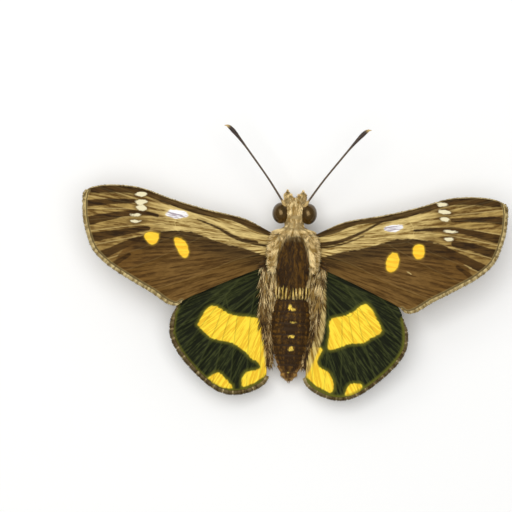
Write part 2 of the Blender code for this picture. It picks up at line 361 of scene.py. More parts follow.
def coat_colours():
    """The markings and a lock's own tone as a colour, under painted shade at the root and painted light at
    the tip.
    """
    inputs = {"Marks": "Vector", "Tone": "Float", "Tip": "Float"}
    group, given, result = node_group("coat_colours", inputs, {"Colour": "Color"})
    dark, pale, amber = group.node("SeparateXYZ", {"Vector": given["Marks"]})
    patches = group.noise(group.place(), 900.0, 2.0)
    tone = group.math("ADD", group.times(given["Tone"], 0.85), group.times(patches, 0.15))
    gold = group.mix(group.spread(tone, 0.15, 0.85), GOLD_DEEP, GOLD_LIGHT)
    gold = group.mix(0.15, gold, GOLD)
    warm = group.mix(group.spread(tone, 0.2, 0.8), AMBER_DEEP, AMBER)
    umber = group.mix(group.spread(tone, 0.3, 1.0), UMBER_DEEP, UMBER)
    ground = group.mix(dark, group.mix(amber, gold, warm), umber)
    ground = group.mix(pale, ground, STRAW_YELLOW)
    # Painted shade and light: each lock is darkened towards its root and brightened towards its tip.
    root_shade_tip_light = group.spread(given["Tip"], 0.0, 0.7, 0.5, 1.3)
    painted_shade_grey = group.node("CombineColor", {0: root_shade_tip_light, 1: root_shade_tip_light, 2: root_shade_tip_light})[0]
    group.feed(result, {"Colour": group.mix(1.0, ground, painted_shade_grey, "MULTIPLY")})
    return group.tree


coat_group = coat_colours()


def coat_colour(finish):
    """The coat's colour from the mesh's own attributes."""
    marks, tone, tip = finish.field("marks", "Vector"), finish.field("tone"), finish.field("tip")
    return finish.node("Group", {"Marks": marks, "Tone": tone, "Tip": tip}, node_tree=coat_group)["Colour"]


skin_finish = Finish("scaled_skin", GOLD, 0.7, 0.25)
skin_finish.show(coat_colour(skin_finish))
skin_lie = skin_finish.node("Mapping", {"Vector": skin_finish.place(), "Scale": (1.0, 0.3, 1.0)})["Vector"]
skin_finish.bump(skin_finish.cells(skin_lie, 6500.0), 0.8, 0.08)

body_skin = shown("body_skin", joined_skin(), skin_finish.material)
skin_places = points_of(body_skin.data)
bare = np.ones(len(skin_places))
# The skin's tip share of 0.25 darkens it with the coat's painted shade, as under the locks.
write_fields(body_skin.data, marks=body_marks(skin_places), tone=0.4 * bare, tip=0.25 * bare)
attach(body_skin, "root")
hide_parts(*SKIN_NODES)

# --- Coat ---
# The coat is hair-like scales, each rooted in the skin and swept back along the body, shortest on the face.
# Every lock is a thin closed blade of a few scales that leaves the skin at a low angle and bends back to it.
BLADE_SHARES = (0.0, 0.4, 0.75)
BLADE_WIDTHS = (0.7, 1.0, 0.6)
BLADE_SECTION = ((-0.5, 0.0), (0.5, 0.0), (0.0, 0.32))
BLADE_EDGES = ((0, 1), (1, 2), (2, 0))
BLADE_TIP = 9
BLADE_SINK = 0.1
TURN = 0.14
SWAY = 0.1
SIZE_RANGES = ((0.75, 1.15), (0.75, 1.25), (0.6, 1.4))
PATCH_SIZE = 0.003
UNWRAP_LENGTH = 52.0
UNWRAP_START = -14.0
AXIS_HEIGHT = 7.0
MOST_REACH = 1.5
STRAND_STEPS = 4
STRAND_STEP = 0.35
STRAND_WIDTH = 0.55
STRAND_CONTRAST = 3.2
TONE_SCATTER = 0.3
STEEP = (0.5, 0.9)
STEEP_LAID = 0.25
SEEN_SHARE = 0.5
CROWN_HEIGHTS = (6.4, 8.4)
CROWN_REAR = (-6.2, -4.0)
CROWN_SIDES = (0.9, 1.8)
CROWN_FRONT = (3.6, 4.4)
PALP_FOOT = (9.0, 10.6)
PALP_POINT = (8.3, 10.0)
PALP_MIDDLE = 1.6
TAIL_HEIGHT = 4.4
RING_OVERLAP = 0.5
FRINGE_CLUMPS = 8.5
FRINGE_LOOSE = 0.35
BELLY_SPLIT = 21.3
BELLY_END = 33.0
FRINGE_START = (9.8, 7.5)
TAIL_START = 29.6

dice = np.random.default_rng(7)
skin_faces = BVHTree.FromObject(body_skin, bpy.context.evaluated_depsgraph_get())


def roots_on(nodes, count):
    """Random places on the skin under these nodes, and its normals there."""
    corners = []
    for name in nodes:
        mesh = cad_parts[name].data
        mesh.calc_loop_triangles()
        corners.append(points_of(mesh)[[tuple(triangle.vertices) for triangle in mesh.loop_triangles]])
    corners = np.vstack(corners)
    areas = np.linalg.norm(np.cross(corners[:, 1] - corners[:, 0], corners[:, 2] - corners[:, 0]), axis=1)
    chosen = corners[dice.choice(len(corners), count, p=areas / areas.sum())]
    first, second = np.sqrt(dice.random(count)), dice.random(count)
    shares = columns(1 - first, first * (1 - second), first * second)
    roots, normals = [], []
    for point in metres((chosen * shares[..., None]).sum(axis=1)):
        found, normal, _, reach = skin_faces.find_nearest(Vector(point))
        if reach < MOST_REACH * MM:
            roots.append(found)
            normals.append(normal)
    return millimetres(roots), np.array(normals)


def unit(vectors):
    """The vectors at length one."""
    return vectors / (np.linalg.norm(vectors, axis=-1, keepdims=True) + 1e-9)


def body_patches(roots):
    """Roots on the body's unwrap: how far round, how far along."""
    around = np.arctan2(roots[:, 0], roots[:, 2] - AXIS_HEIGHT) / (2 * np.pi) + 0.5
    return columns(around, (roots[:, 1] - UNWRAP_START) / UNWRAP_LENGTH)


def laid(ways, normals):
    """The ways laid along the skin, but where they meet it steeply they stand off it."""
    ways = unit(ways)
    steep = np.sum(ways * normals, axis=1, keepdims=True)
    share_laid = np.where(steep > 0, 1.0 - (1 - STEEP_LAID) * soft_step(steep, *STEEP), 1.0)
    return unit(ways - normals * steep * share_laid)


def strands(roots, lies):
    """A tone for each lock, nearly alike in locks that lie one behind the other."""
    found = np.zeros(len(roots))
    for step in range(-STRAND_STEPS, STRAND_STEPS + 1):
        places = (roots + lies * step * STRAND_STEP) / STRAND_WIDTH
        found += [noise.noise(place) for place in places.tolist()]
    found *= STRAND_CONTRAST / (2 * STRAND_STEPS + 1)
    return np.clip(0.5 + found + TONE_SCATTER * (dice.random(len(roots)) - 0.5), 0.0, 1.0)


def locks(name, roots, normals, lies, sizes, patches, finish, fields, bend=0.6, loose=1.0):
    """A coat piece of blades. The sizes are lengths, widths and angles lifted off the skin."""
    count = len(roots)
    lies = laid(lies, normals)
    lies = unit(lies + np.cross(lies, normals) * dice.normal(0.0, TURN * loose, count)[:, None])
    sides = np.cross(lies, normals)
    sways = dice.normal(0.0, SWAY * loose, count)[:, None]
    sizes = [(size * dice.uniform(*limits, count))[:, None] for size, limits in zip(sizes, SIZE_RANGES)]
    lengths, widths, lifts = *sizes[:2], np.radians(sizes[2])

    def middle(share):
        rise = np.sin(lifts) * (share - bend * share**2)
        away = lies * np.cos(lifts) * share + normals * rise + sides * sways * share**2
        return roots - normals * BLADE_SINK + lengths * away

    rows = [
        middle(share) + widths * width * (sides * wide + normals * deep)
        for share, width in zip(BLADE_SHARES, BLADE_WIDTHS) for wide, deep in BLADE_SECTION
    ]
    points = np.stack([*rows, middle(1.0)], axis=1)
    walls = [(ring + a, ring + 3 + a, ring + 3 + b, ring + b) for ring in (0, 3) for a, b in BLADE_EDGES]
    ends = [(6 + a, BLADE_TIP, 6 + b) for a, b in BLADE_EDGES] + [(0, 1, 2)]
    starts = np.arange(count)[:, None, None] * (BLADE_TIP + 1)
    faces = (np.array(walls) + starts).reshape(-1, 4).tolist()
    faces += (np.array(ends) + starts).reshape(-1, 3).tolist()
    mesh = bpy.data.meshes.new(name)
    mesh.from_pydata(metres(points.reshape(-1, 3)).tolist(), [], faces)
    mesh.polygons.foreach_set("use_smooth", np.ones(len(mesh.polygons), bool))
    wides = np.array([wide for _ in BLADE_SHARES for wide, _ in BLADE_SECTION] + [0.0])
    shares = np.array([share for share in BLADE_SHARES for _ in BLADE_SECTION] + [1.0])
    spots = patches[:, None, :] + PATCH_SIZE * columns(wides, shares - 0.5)[None]
    corners = np.zeros(len(mesh.loops), np.int32)
    mesh.loops.foreach_get("vertex_index", corners)
    mesh.uv_layers.new(name="OFBake").data.foreach_set("uv", spots.reshape(-1, 2)[corners].ravel())
    fields = {"tone": strands(roots, lies), **fields}
    of_points = {field: np.repeat(values, BLADE_TIP + 1, axis=0) for field, values in fields.items()}
    write_fields(mesh, tip=np.tile(shares, count), **of_points)
    mesh.materials.append(finish.material)
    piece = placed(name, mesh)
    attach(piece, "root")


fur_finish = Finish("hair_scales", GOLD, 0.6, 0.12, 0.04)
fur_finish.show(coat_colour(fur_finish))


def fringe_marks(places):
    """Golden strokes with umber ones between them, in narrow clumps."""
    x = places[:, 0]
    clumps = np.sin(x * FRINGE_CLUMPS + 0.6 * np.sin(x * 2.3)) + dice.normal(0.0, 0.12, len(x))
    return columns(clumps > 0.0, 0.4 * (clumps < -0.1), 0.0)


def lie_face(x, y, z, up):
    """Forwards along crown and brow, down the cheeks, back behind the eyes."""
    crown = soft_step(z, *CROWN_HEIGHTS)
    forward = crown * (1 - 1.6 * soft_step(y, *CROWN_REAR))
    return columns(0.1 * x, 0.35 - 1.35 * forward, -0.6 * (1 - crown))


def lie_palp(x, y, z, up):
    """Forward and up, spread at the palp's foot and drawn together at its point."""
    aside = x - np.sign(x) * PALP_MIDDLE
    return columns(aside * (0.75 - 0.35 * soft_step(-y, *PALP_POINT)), -1.0, 0.35)


def lie_back(x, y, z, up):
    """Straight back, and slightly outwards."""
    return columns(0.12 * np.sign(x), 1.0, -0.05)


def lie_shawl(x, y, z, up):
    """Out and back from the neck, over the shoulders."""
    return columns(0.3 * x, 1.0, 0.1 * up)


def lie_tail(x, y, z, up):
    """Straight back, drawn together behind the last ring."""
    return columns(-0.25 * x, 1.0, 0.1 * (TAIL_HEIGHT - z))


def crown_length(x, y, z):
    """Short beside the eyes, longer along the crown."""
    return 1.0 - 0.6 * soft_step(np.abs(x), *CROWN_SIDES) * soft_step(-y, *CROWN_FRONT)


def palp_length(x, y, z):
    """Longest at the palp's foot."""
    return 1.3 - 0.85 * soft_step(-y, *PALP_FOOT)


def belly_length(x, y, z):
    """Longest just in front of each ring, over the next one."""
    gaps = np.min([np.where(ring >= y, ring - y, np.inf) for ring in (*RING_PLACES, BELLY_END)], axis=0)
    return 0.75 + 0.45 * np.exp(-gaps / RING_OVERLAP)


COATS = {  # nodes, locks, length, width, lift, lie, slot
    "head": ("head", 6500, crown_length, 0.15, 14.0, lie_face, "golden_fur"),
    "palps": ("palp_left palp_right", 3400, palp_length, 0.16, 16.0, lie_palp, "golden_fur"),
    "collar": ("collar", 3600, 1.9, 0.19, 12.0, lie_shawl, "golden_fur"),
    "shoulder_flaps": ("tegula_left tegula_right", 5600, 2.0, 0.2, 9.0, lie_shawl, "golden_fur"),
    "chest": ("thorax", 12000, 1.6, 0.2, 13.0, lie_back, "body_fur"),
    "belly_front": ("abdomen", 23000, belly_length, 0.2, 10.0, lie_back, "body_fur"),
    "belly_rear": ("abdomen", 23000, belly_length, 0.19, 10.0, lie_back, "body_fur"),
    "chest_fringe": ("thorax", 12000, 2.9, 0.17, 13.0, lie_back, "golden_fur"),
    "tail_tuft": ("abdomen", 9000, 1.3, 0.14, 9.0, lie_tail, "body_fur"),
}
KEPT = {  # which roots a coat keeps, where it does not cover all of its nodes
    "belly_front": lambda x, y, z: y < BELLY_SPLIT,
    "belly_rear": lambda x, y, z: y >= BELLY_SPLIT,
    "chest_fringe": lambda x, y, z: (y > FRINGE_START[0]) & (z > FRINGE_START[1]),
    "tail_tuft": lambda x, y, z: y > TAIL_START,
}

for name, (nodes, count, length, width, lift, lie_of, slot) in COATS.items():
    marks_of, loose = (fringe_marks, FRINGE_LOOSE) if name == "chest_fringe" else (body_marks, 1.0)
    roots, normals = roots_on(nodes.split(), count)
    if name in KEPT:
        kept = KEPT[name](*roots.T)
        roots, normals = roots[kept], normals[kept]
    lengths = length(*roots.T) if callable(length) else np.full(len(roots), length)
    lies = laid(lie_of(*roots.T, normals[:, 2]), normals)
    marks = {"marks": marks_of(roots + lies * lengths[:, None] * SEEN_SHARE)}
    sizes, patches = (lengths, width, lift), body_patches(roots)
    locks("coat_" + name, roots, normals, lies, sizes, patches, fur_finish, marks, loose=loose)

# --- Eyes ---
# Each compound eye is a bulging, glossy brown dome of many small facets, set in a socket at the head's side.
# A rim of short pale scales closes the socket round it.
EYE_CENTRE = (3.1, -6.05, 7.45)
EYE_HALF_SIZES = (2.0, 2.4, 2.55)
EYE_SEGMENTS = 72
EYE_RINGS = 48
FACET_SCALE = 7800.0
RIM_LOCKS = 620
RIM_PLANE = 1.6
RIM_SIZES = (0.45, 0.16, 25.0)
RIM_REACH = (0.97, 1.04)
RIM_SPREAD = (-0.35, 0.1)
RIM_LIE = (0.55, 0.35)
RIM_TILT = (0.3, 0.0, 0.0)
RIM_MARKS = (0.0, 0.15, 0.0)
EYE_DEEP, EYE_LIT_BROWN = map(paint, ("#120A00", "#3E2A0A"))

eye_finish = Finish("faceted_eye", EYE_DEEP, 0.2)
eye_place = eye_finish.place()
eye_height = eye_finish.node("SeparateXYZ", {"Vector": eye_place})["Z"]
eye_clouds = eye_finish.spread(eye_finish.noise(eye_place, 700.0, 2.0), 0.3, 0.7, 0.35, 0.8)
# Painted light: the dome turns lighter brown towards its top and stays near black below.
painted_eye_top_light = eye_finish.times(eye_finish.spread(eye_height, 6.0 * MM, 9.8 * MM), eye_clouds)
eye_finish.show(eye_finish.mix(painted_eye_top_light, EYE_DEEP, EYE_LIT_BROWN))
eye_finish.bump(eye_finish.cells(eye_place, FACET_SCALE), 0.22, 0.03, invert=True)
eye_finish.feed(eye_finish.shader, {"IOR": 1.75, "Specular Tint": paint("#FFD898")})


def handed(piece, name):
    """The piece, on the body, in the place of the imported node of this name."""
    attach(piece, "root")
    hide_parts(name)


def eye(side):
    """One eye, its poles turned to the inner and outer side."""
    turn = Matrix.Rotation(math.radians(90.0), 4, "Y")
    bm = bmesh.new()
    bmesh.ops.create_uvsphere(bm, u_segments=EYE_SEGMENTS, v_segments=EYE_RINGS, radius=1.0, matrix=turn)
    bmesh.ops.scale(bm, vec=Vector(EYE_HALF_SIZES) * MM, verts=bm.verts)
    bmesh.ops.translate(bm, vec=Vector(metres(mirrored(EYE_CENTRE, side))), verts=bm.verts)
    handed(shown("eye_dome_" + side, bm, eye_finish.material), "eye_" + side)


def eye_rim(side):
    """The pale scales that stand round an eye, over the edge of its socket."""
    angles = dice.uniform(0.0, 2 * np.pi, RIM_LOCKS)
    offset = (RIM_PLANE - EYE_CENTRE[0]) / EYE_HALF_SIZES[0]
    reach = math.sqrt(1 - offset * offset) * dice.uniform(*RIM_REACH, RIM_LOCKS)
    ring = columns(0.0, np.cos(angles) * EYE_HALF_SIZES[1], np.sin(angles) * EYE_HALF_SIZES[2])
    roots = (RIM_PLANE, *EYE_CENTRE[1:]) + ring * reach[:, None]
    roots[:, 0] += dice.uniform(*RIM_SPREAD, RIM_LOCKS)
    outward, round_eye = RIM_LIE
    lies = columns(outward, -np.sin(angles) * round_eye, np.cos(angles) * round_eye)
    roots, normals, lies = (mirrored(ways, side) for ways in (roots, unit(ring + RIM_TILT), lies))
    locks(
        "coat_eye_rim_" + side, roots, normals, lies, RIM_SIZES, body_patches(roots),
        fur_finish, {"marks": np.tile(RIM_MARKS, (RIM_LOCKS, 1))},
    )


for side in SIDES:
    eye(side)
    eye_rim(side)

# --- Antennae ---
# Each antenna is a slender many-ringed shaft on a swollen base, thickened near its end into a hooked club.
# It is bare, dark horn with a pale ring of scales at each joint, and the club's point is paler.
ANTENNA_PATH = (
    (2.3, -7.6, 8.6), (2.6, -8.3, 9.1), (3.2, -9.2, 9.5), (6.2, -13.6, 11), (10, -18.6, 12.2),
    (12.6, -21.9, 12.7), (14.6, -24.2, 12.9), (15.8, -25.2, 13), (16.6, -25.3, 13.3),
)
ANTENNA_HALVES = (
    (0, 0.42), (0.05, 0.4), (0.075, 0.24), (0.4, 0.21), (0.7, 0.23), (0.8, 0.34), (0.9, 0.52),
    (0.95, 0.42), (0.98, 0.18), (1, 0.06),
)
ANTENNA_JOINTS = 64
RINGS_A_JOINT = 4
TUBE_SIDES = 12
JOINT_SWELL = 0.12
CURVE_STEPS = 24


def smooth_curve(points, shares):
    """Places on a smooth curve through the points, at these shares of its length."""
    knots = np.asarray(points, float)
    ends = np.vstack([2 * knots[0] - knots[1], knots, 2 * knots[-1] - knots[-2]])
    before, start, end, after = (ends[first : first + len(knots) - 1, None] for first in range(4))
    t = np.linspace(0.0, 1.0, CURVE_STEPS, endpoint=False)[None, :, None]
    bend = (2 * before - 5 * start + 4 * end - after) * t**2
    twist = (3 * start - before - 3 * end + after) * t**3
    curve = ((2 * start + (end - before) * t + bend + twist) / 2).reshape(-1, knots.shape[1])
    curve = np.vstack([curve, knots[-1:]])
    run = np.concatenate([[0.0], np.cumsum(np.linalg.norm(np.diff(curve, axis=0), axis=1))])
    return np.stack([np.interp(np.asarray(shares) * run[-1], run, column) for column in curve.T], axis=-1)


def heading(points, shares, nudge):
    """The way a smooth curve runs at these shares of its length."""
    ahead, behind = np.minimum(shares + nudge, 1.0), np.maximum(shares - nudge, 0.0)
    return smooth_curve(points, ahead) - smooth_curve(points, behind)


def tube(bm, places, halves):
    """A closed round tube through the places, with one half width for each."""
    places = [Vector(place) for place in metres(places)]
    steps = [after - before for before, after in zip(places, places[1:])]
    ways = [steps[0], *(before + after for before, after in zip(steps, steps[1:])), steps[-1]]
    turn = ways[0].to_track_quat("Z", "Y")
    before = None
    for index, (place, way, half) in enumerate(zip(places, ways, np.asarray(halves) * MM)):
        if index:
            turn = ways[index - 1].rotation_difference(way) @ turn
        size = Matrix.Diagonal((half, half, half, 1.0))
        ring = Matrix.Translation(place) @ turn.to_matrix().to_4x4() @ size
        if before is None:
            circle = bmesh.ops.create_circle(bm, cap_ends=True, segments=TUBE_SIDES, radius=1.0, matrix=ring)
            edges = list({edge for vert in circle["verts"] for edge in vert.link_edges})
        else:
            made = bmesh.ops.extrude_edge_only(bm, edges=edges)["geom"]
            verts = [part for part in made if isinstance(part, bmesh.types.BMVert)]
            made_edges = (part for part in made if isinstance(part, bmesh.types.BMEdge))
            edges = [edge for edge in made_edges if all(vert in verts for vert in edge.verts)]
            bmesh.ops.transform(bm, matrix=ring @ before.inverted(), verts=verts)
        before = ring
    bmesh.ops.edgeloop_fill(bm, edges=edges)


HORN_DEEP, HORN, HORN_RING, HORN_PALE = map(paint, ("#1E1208", "#4A3320", "#9C8258", "#C2A468"))
horn = Finish("ringed_horn", HORN, 0.4)
horn_along = horn.field("along")
horn_phase = horn.math("FRACT", horn.times(horn_along, ANTENNA_JOINTS))
horn_ring = horn.times(horn.spread(horn_phase, 0.22, 0.08), horn.spread(horn_along, 0.78, 0.72))
horn_grain = horn.noise(horn.place(), 2500.0, 3.0)
horn_ground = horn.mix(horn.spread(horn_grain, 0.35, 0.7), HORN_DEEP, HORN)
horn_ground = horn.mix(horn.times(horn_ring, 0.8), horn_ground, HORN_RING)
horn_foot = horn.times(horn.spread(horn_along, 0.09, 0.06), horn.spread(horn_grain, 0.2, 0.5, 0.6, 1.0))
horn_pale = horn.math("MAXIMUM", horn.spread(horn_along, 0.93, 0.98), horn_foot)
horn.show(horn.mix(horn_pale, horn_ground, HORN_PALE))
horn.bump(horn_grain, 0.5, 0.03)

for side in SIDES:
    shares = np.linspace(0.0, 1.0, ANTENNA_JOINTS * RINGS_A_JOINT + 1)
    phase = (np.arange(len(shares)) % RINGS_A_JOINT) / RINGS_A_JOINT
    halves = np.interp(shares, *zip(*ANTENNA_HALVES)) * (1 + JOINT_SWELL * np.cos(2 * np.pi * phase))
    bm = bmesh.new()
    tube(bm, mirrored(smooth_curve(ANTENNA_PATH, shares), side), halves)
    bmesh.ops.recalc_face_normals(bm, faces=bm.faces)
    antenna = shown("antenna_shaft_" + side, bm, horn.material)
    write_fields(antenna.data, along=np.repeat(shares, TUBE_SIDES))
    handed(antenna, "antenna_" + side)

# --- Legs ---
# Six jointed legs of hollow chitin carry the moth: hip, thigh, shin with spurs, and a five-jointed foot.
# Flat scales clothe them, with a fringe along thigh and shin and a pale ring at each joint of the foot.
LEG_ROUTES = {
    "fore": (
        (1.6, 1, 5.2), (2.4, -0.2, 2.9), (4.6, -0.9, 4.6), (6.6, -1.4, 5.7), (9.8, -1, 1.1),
        (13.8, -2, 0.24),
    ),
    "mid": ((1.9, 3, 5.2), (2.9, 3, 2.7), (6.2, 3.4, 4.9), (8.6, 3.8, 6), (13, 5.4, 1.1), (18, 7.6, 0.24)),
    "hind": (
        (1.9, 6.6, 5.2), (2.9, 7.3, 2.6), (5.4, 9.2, 4.5), (7.2, 10.6, 5.6), (9.8, 18.6, 1.1),
        (10.9, 24.6, 0.24),
    ),
}
HEEL_SHARE = 0.2
FOOT_HEIGHT = 0.24
FOOT_SHARES = (0.0, 0.42, 0.6, 0.74, 0.87, 0.98)
LEG_RINGS = 11
CLAW_HALVES = (0.08, 0.07, 0.05, 0.015)
SPUR_HALVES = (0.09, 0.1, 0.08, 0.02)
LIMBS = {  # half widths, those that scales are rooted at, share and length of the scales, their marks
    "hip": ((0.5, 0.66, 0.6, 0.5, 0.34), (0.5, 0.62, 0.4), 0.2, 0.8, (0.35, 0.0, 0.5)),
    "thigh": ((0.3, 0.46, 0.52, 0.5, 0.4, 0.3, 0.26), (0.34, 0.5, 0.46, 0.28), 0.32, 0.75, (0.75, 0.0, 0.3)),
    "shin": ((0.24, 0.3, 0.32, 0.3, 0.28, 0.26), (0.26, 0.31, 0.29, 0.26), 0.28, 0.7, (0.35, 0.0, 0.5)),
    "foot": ((0.17, 0.19, 0.19, 0.2, 0.22, 0.18), (0.2, 0.19, 0.19, 0.18), 0.2, 0.34, (0.0, 0.1, 0.0)),
}
SPURS = {"fore": (0.62,), "mid": (0.95,), "hind": (0.6, 0.95)}
SPUR_LENGTH = 1.5
SPUR_SPREAD = 0.35
CLAW_PLACES = ((0.35, 0.2, 0.05), (0.55, 0.3, -0.15))  # ahead, aside, up
OFF_AXIS = (0.31, 0.17, 0.94)
LEG_LOCKS = 1500
LEG_SHELVES = 6
LEG_LOCK_SIZES = (0.15, 12.0)
LOWEST_ROOT = 0.08
FOOT_JOINTS = 5
FOOT_RING = 0.3
FOOT_DARK = 0.75


def evenly(halves, shares):
    """Half widths shared out evenly along a limb."""
    return np.interp(shares, np.linspace(0.0, 1.0, len(halves)), halves)


def limb(bm, places, halves):
    """One limb of a leg, or a claw or spur."""
    shares = np.linspace(0.0, 1.0, LEG_RINGS)
    tube(bm, smooth_curve(places, shares), evenly(halves, shares))


def through_middle(start, end):
    """Start, middle and end."""
    return start, start * 0.5 + end * 0.5, end


def leg_routes(pair, side):
    """The route of each limb of one leg."""
    hip, trochanter, thigh, knee, ankle, toe = mirrored(LEG_ROUTES[pair], side)
    heel = ankle + (toe - ankle) * HEEL_SHARE
    heel[2] = FOOT_HEIGHT
    shin, foot = through_middle(knee, ankle), (ankle, *through_middle(heel, toe))
    return {"hip": (hip, trochanter), "thigh": (trochanter, thigh, knee), "shin": shin, "foot": foot}


def leg_shell(pair, side):
    """The bare joints, spurs and claws of one leg."""
    routes = leg_routes(pair, side)
    bm = bmesh.new()
    for part in ("hip", "thigh", "shin"):
        limb(bm, routes[part], LIMBS[part][0])
    foot = smooth_curve(routes["foot"], FOOT_SHARES)
    foot[:, 2] = np.maximum(foot[:, 2], FOOT_HEIGHT)
    for start, end in zip(foot, foot[1:]):
        limb(bm, through_middle(start, end), LIMBS["foot"][0])
    knee, _, ankle = routes["shin"]
    _, heel, _, toe = routes["foot"]
    forward = unit(toe - heel)
    across = np.array((-forward[1], forward[0], 0.0))
    for turn in (-1, 1):
        bend, point = (
            foot[-1] + forward * ahead + across * aside * turn + (0.0, 0.0, up)
            for ahead, aside, up in CLAW_PLACES
        )
        limb(bm, (foot[-1], bend, point), CLAW_HALVES)
        for share in SPURS[pair]:
            start = knee + (ankle - knee) * share
            way = unit(ankle - knee) + across * SPUR_SPREAD * turn
            limb(bm, (start, start + way * SPUR_LENGTH * 0.5, start + unit(way) * SPUR_LENGTH), SPUR_HALVES)
    bmesh.ops.recalc_face_normals(bm, faces=bm.faces)
    return bm


def round_route(route, halves, count):
    """Random roots round a route, with outward normals and its own direction."""
    shares = dice.random(count)
    ways = unit(heading(route, shares, 0.01))
    out = unit(np.cross(ways, OFF_AXIS))
    angles = dice.uniform(0.0, 2 * np.pi, count)[:, None]
    normals = np.cos(angles) * out + np.sin(angles) * np.cross(ways, out)
    return smooth_curve(route, shares) + normals * evenly(halves, shares)[:, None], normals, ways, shares


leg_finish = Finish("leg_chitin", HORN, 0.45)
leg_place = leg_finish.place()
leg_cloud = leg_finish.spread(leg_finish.noise(leg_place, 900.0, 3.0), 0.3, 0.7)
leg_finish.show(leg_finish.mix(leg_cloud, HORN_DEEP, HORN))
leg_finish.bump(leg_finish.cells(leg_place, 6000.0), 0.6, 0.05)


def leg_coat(pair, side, shelf):
    """The scales of one leg, with a pale ring at each joint of the foot."""
    routes = leg_routes(pair, side)
    routes["hip"] = through_middle(*routes["hip"])
    found = []
    for part, (_, halves, part_share, length, part_marks) in LIMBS.items():
        count = int(LEG_LOCKS * part_share)
        roots, normals, ways, shares = round_route(routes[part], halves, count)
        roots[:, 2] = np.maximum(roots[:, 2], LOWEST_ROOT)
        marks = np.tile(part_marks, (count, 1))
        if part == "foot":
            marks[:, 0] = FOOT_DARK * (np.modf(shares * FOOT_JOINTS)[0] > FOOT_RING)
        found.append((roots, normals, ways, np.full(count, length), marks, shares))
    roots, normals, ways, lengths, marks, shares = map(np.concatenate, zip(*found))
    around = np.arctan2(normals[:, 1], normals[:, 0]) / (2 * np.pi) + 0.5
    patches, sizes = columns((shelf + around) / LEG_SHELVES, shares), (lengths, *LEG_LOCK_SIZES)
    name = f"coat_leg_{pair}_{side}"
    locks(name, roots, normals, ways, sizes, patches, fur_finish, {"marks": marks})


for side in SIDES:
    for shelf, pair in enumerate(LEG_ROUTES):
        leg = shown(f"leg_{pair}_{side}_joints", leg_shell(pair, side), leg_finish.material)
        handed(leg, f"leg_{pair}_{side}")
        leg_coat(pair, side, shelf)

# --- Forewings ---
# Each forewing is a stiff membrane over hollow veins that fan out from the hinge, shingled with flat scales.
# Straw and umber scales lie in lines along the veins, with a pearl window and cream and yellow spots.
FOREWING_COSTA = (
    (3.2, -0.6), (7.7, -2.9), (12, -4.6), (20.3, -6.3), (27.6, -8.2), (34.8, -10.5), (41.1, -11),
    (45.6, -10.4), (47.5, -9.2), (48.1, -7.6),
)
FOREWING_BACK = (
    (3.2, 4.9), (15.6, 10.3), (21.5, 13.2), (24.2, 15), (25.8, 16.1), (27.6, 15.8), (29.4, 14.8),
    (31.6, 13.3), (36.6, 10.5), (42, 7.2), (45.7, 3.4), (47.7, -2.4), (48.1, -6.2),
)
FOREWING_FAN = (-5.9, 1.0)
FOREWING_MIDDLE = (25.0, 0.0)
FOREWING_GRID = (220, 92)
FOREWING_ARCH = 0.5
TORNUS_SHARE = 0.4
RIM_STEPS = 30
CILIA_DEPTH = 0.75
EDGE_DEPTH = 0.12
WING_THICKNESS = 0.2
HINGE_HEIGHT = 9.0
WING_RISE = 0.16
WING_DROOP = 0.0012
FOREWING_VEINS = (
    ((3.2, 0.2), (12, -3.1), (20, -5.3), (27, -7.4), (31.5, -9.3)),
    ((3.2, 0.8), (12, -2.2), (20, -4.1), (26, -6), (36, -10.6)),
    ((18, -3.6), (25, -5.3), (33, -8.2), (41.2, -10.8)), ((25, -5.3), (34, -7.6), (44.6, -10.4)),
    ((25.6, -5.3), (36, -6.9), (47.4, -8.4)), ((26, -5), (37, -5.7), (47.9, -5.4)),
    ((26.8, -4), (37, -3.9), (47.7, -2.7)), ((27, -2.9), (37, -1.9), (47, -0.2)),
    ((26.5, -1.5), (36, 0.6), (46, 2.9)), ((25.5, -0.5), (34, 2.9), (43.2, 6.2)),
    ((21.5, 0.4), (30, 4.8), (39.2, 8.9)),
    ((3.2, 1.7), (12, 0.7), (20, 0.3), (25.5, -0.5), (27, -2.9), (26, -5)),
    ((3.2, 2.8), (12, 4.6), (22, 9), (32.8, 12.9)),
)
VEIN_HEIGHT = 0.13
VEIN_WIDTH = 0.24
VEIN_TAPER = 0.55
FOREWING_VEIN_THINNING = (10.0, 44.0)
FOREWING_EDGES = ((0.0, 0.02), (0.985, 1.0))
EDGE_RELIEF = 0.3
PLEAT_DEPTH = 0.12
PLEAT_WIDTH = 1.3
FAN_REACH = 30.0


def drawn_in(points, shares, towards, depths):
    """The curve moved by these depths towards a place, and its outward ways."""
    here = smooth_curve(points, shares)
    run = heading(points, shares, 0.002)
    inward = np.stack([-run[..., 1], run[..., 0]], axis=-1)
    inward /= np.linalg.norm(inward, axis=-1, keepdims=True)
    turn = np.sign(np.sum(inward * (np.asarray(towards) - here), axis=-1, keepdims=True))
    return here + inward * turn * np.asarray(depths)[..., None], -inward * turn


def wing_height(plan):
    """Height of both pairs of wings, rising away from the midline."""
    x = plan[..., 0]
    return HINGE_HEIGHT + WING_RISE * x - WING_DROOP * x * x


def forewing_plan(along, across):
    """Plan of the membrane, from hinge to tip and from front to back edge."""
    edges = []
    for edge, start, end in ((FOREWING_COSTA, 0.93, 1.0), (FOREWING_BACK, 0.3, 0.44)):
        depths = EDGE_DEPTH + (CILIA_DEPTH - EDGE_DEPTH) * soft_step(along, start, end)
        edges.append(drawn_in(edge, along, FOREWING_MIDDLE, depths)[0])
    return edges[0] + (edges[1] - edges[0]) * across[..., None]


FOREWING_RIM = np.vstack([
    forewing_plan(np.linspace(TORNUS_SHARE, 1.0, RIM_STEPS), np.ones(RIM_STEPS)),
    forewing_plan(np.linspace(1.0, 0.95, 5), np.zeros(5)),
])


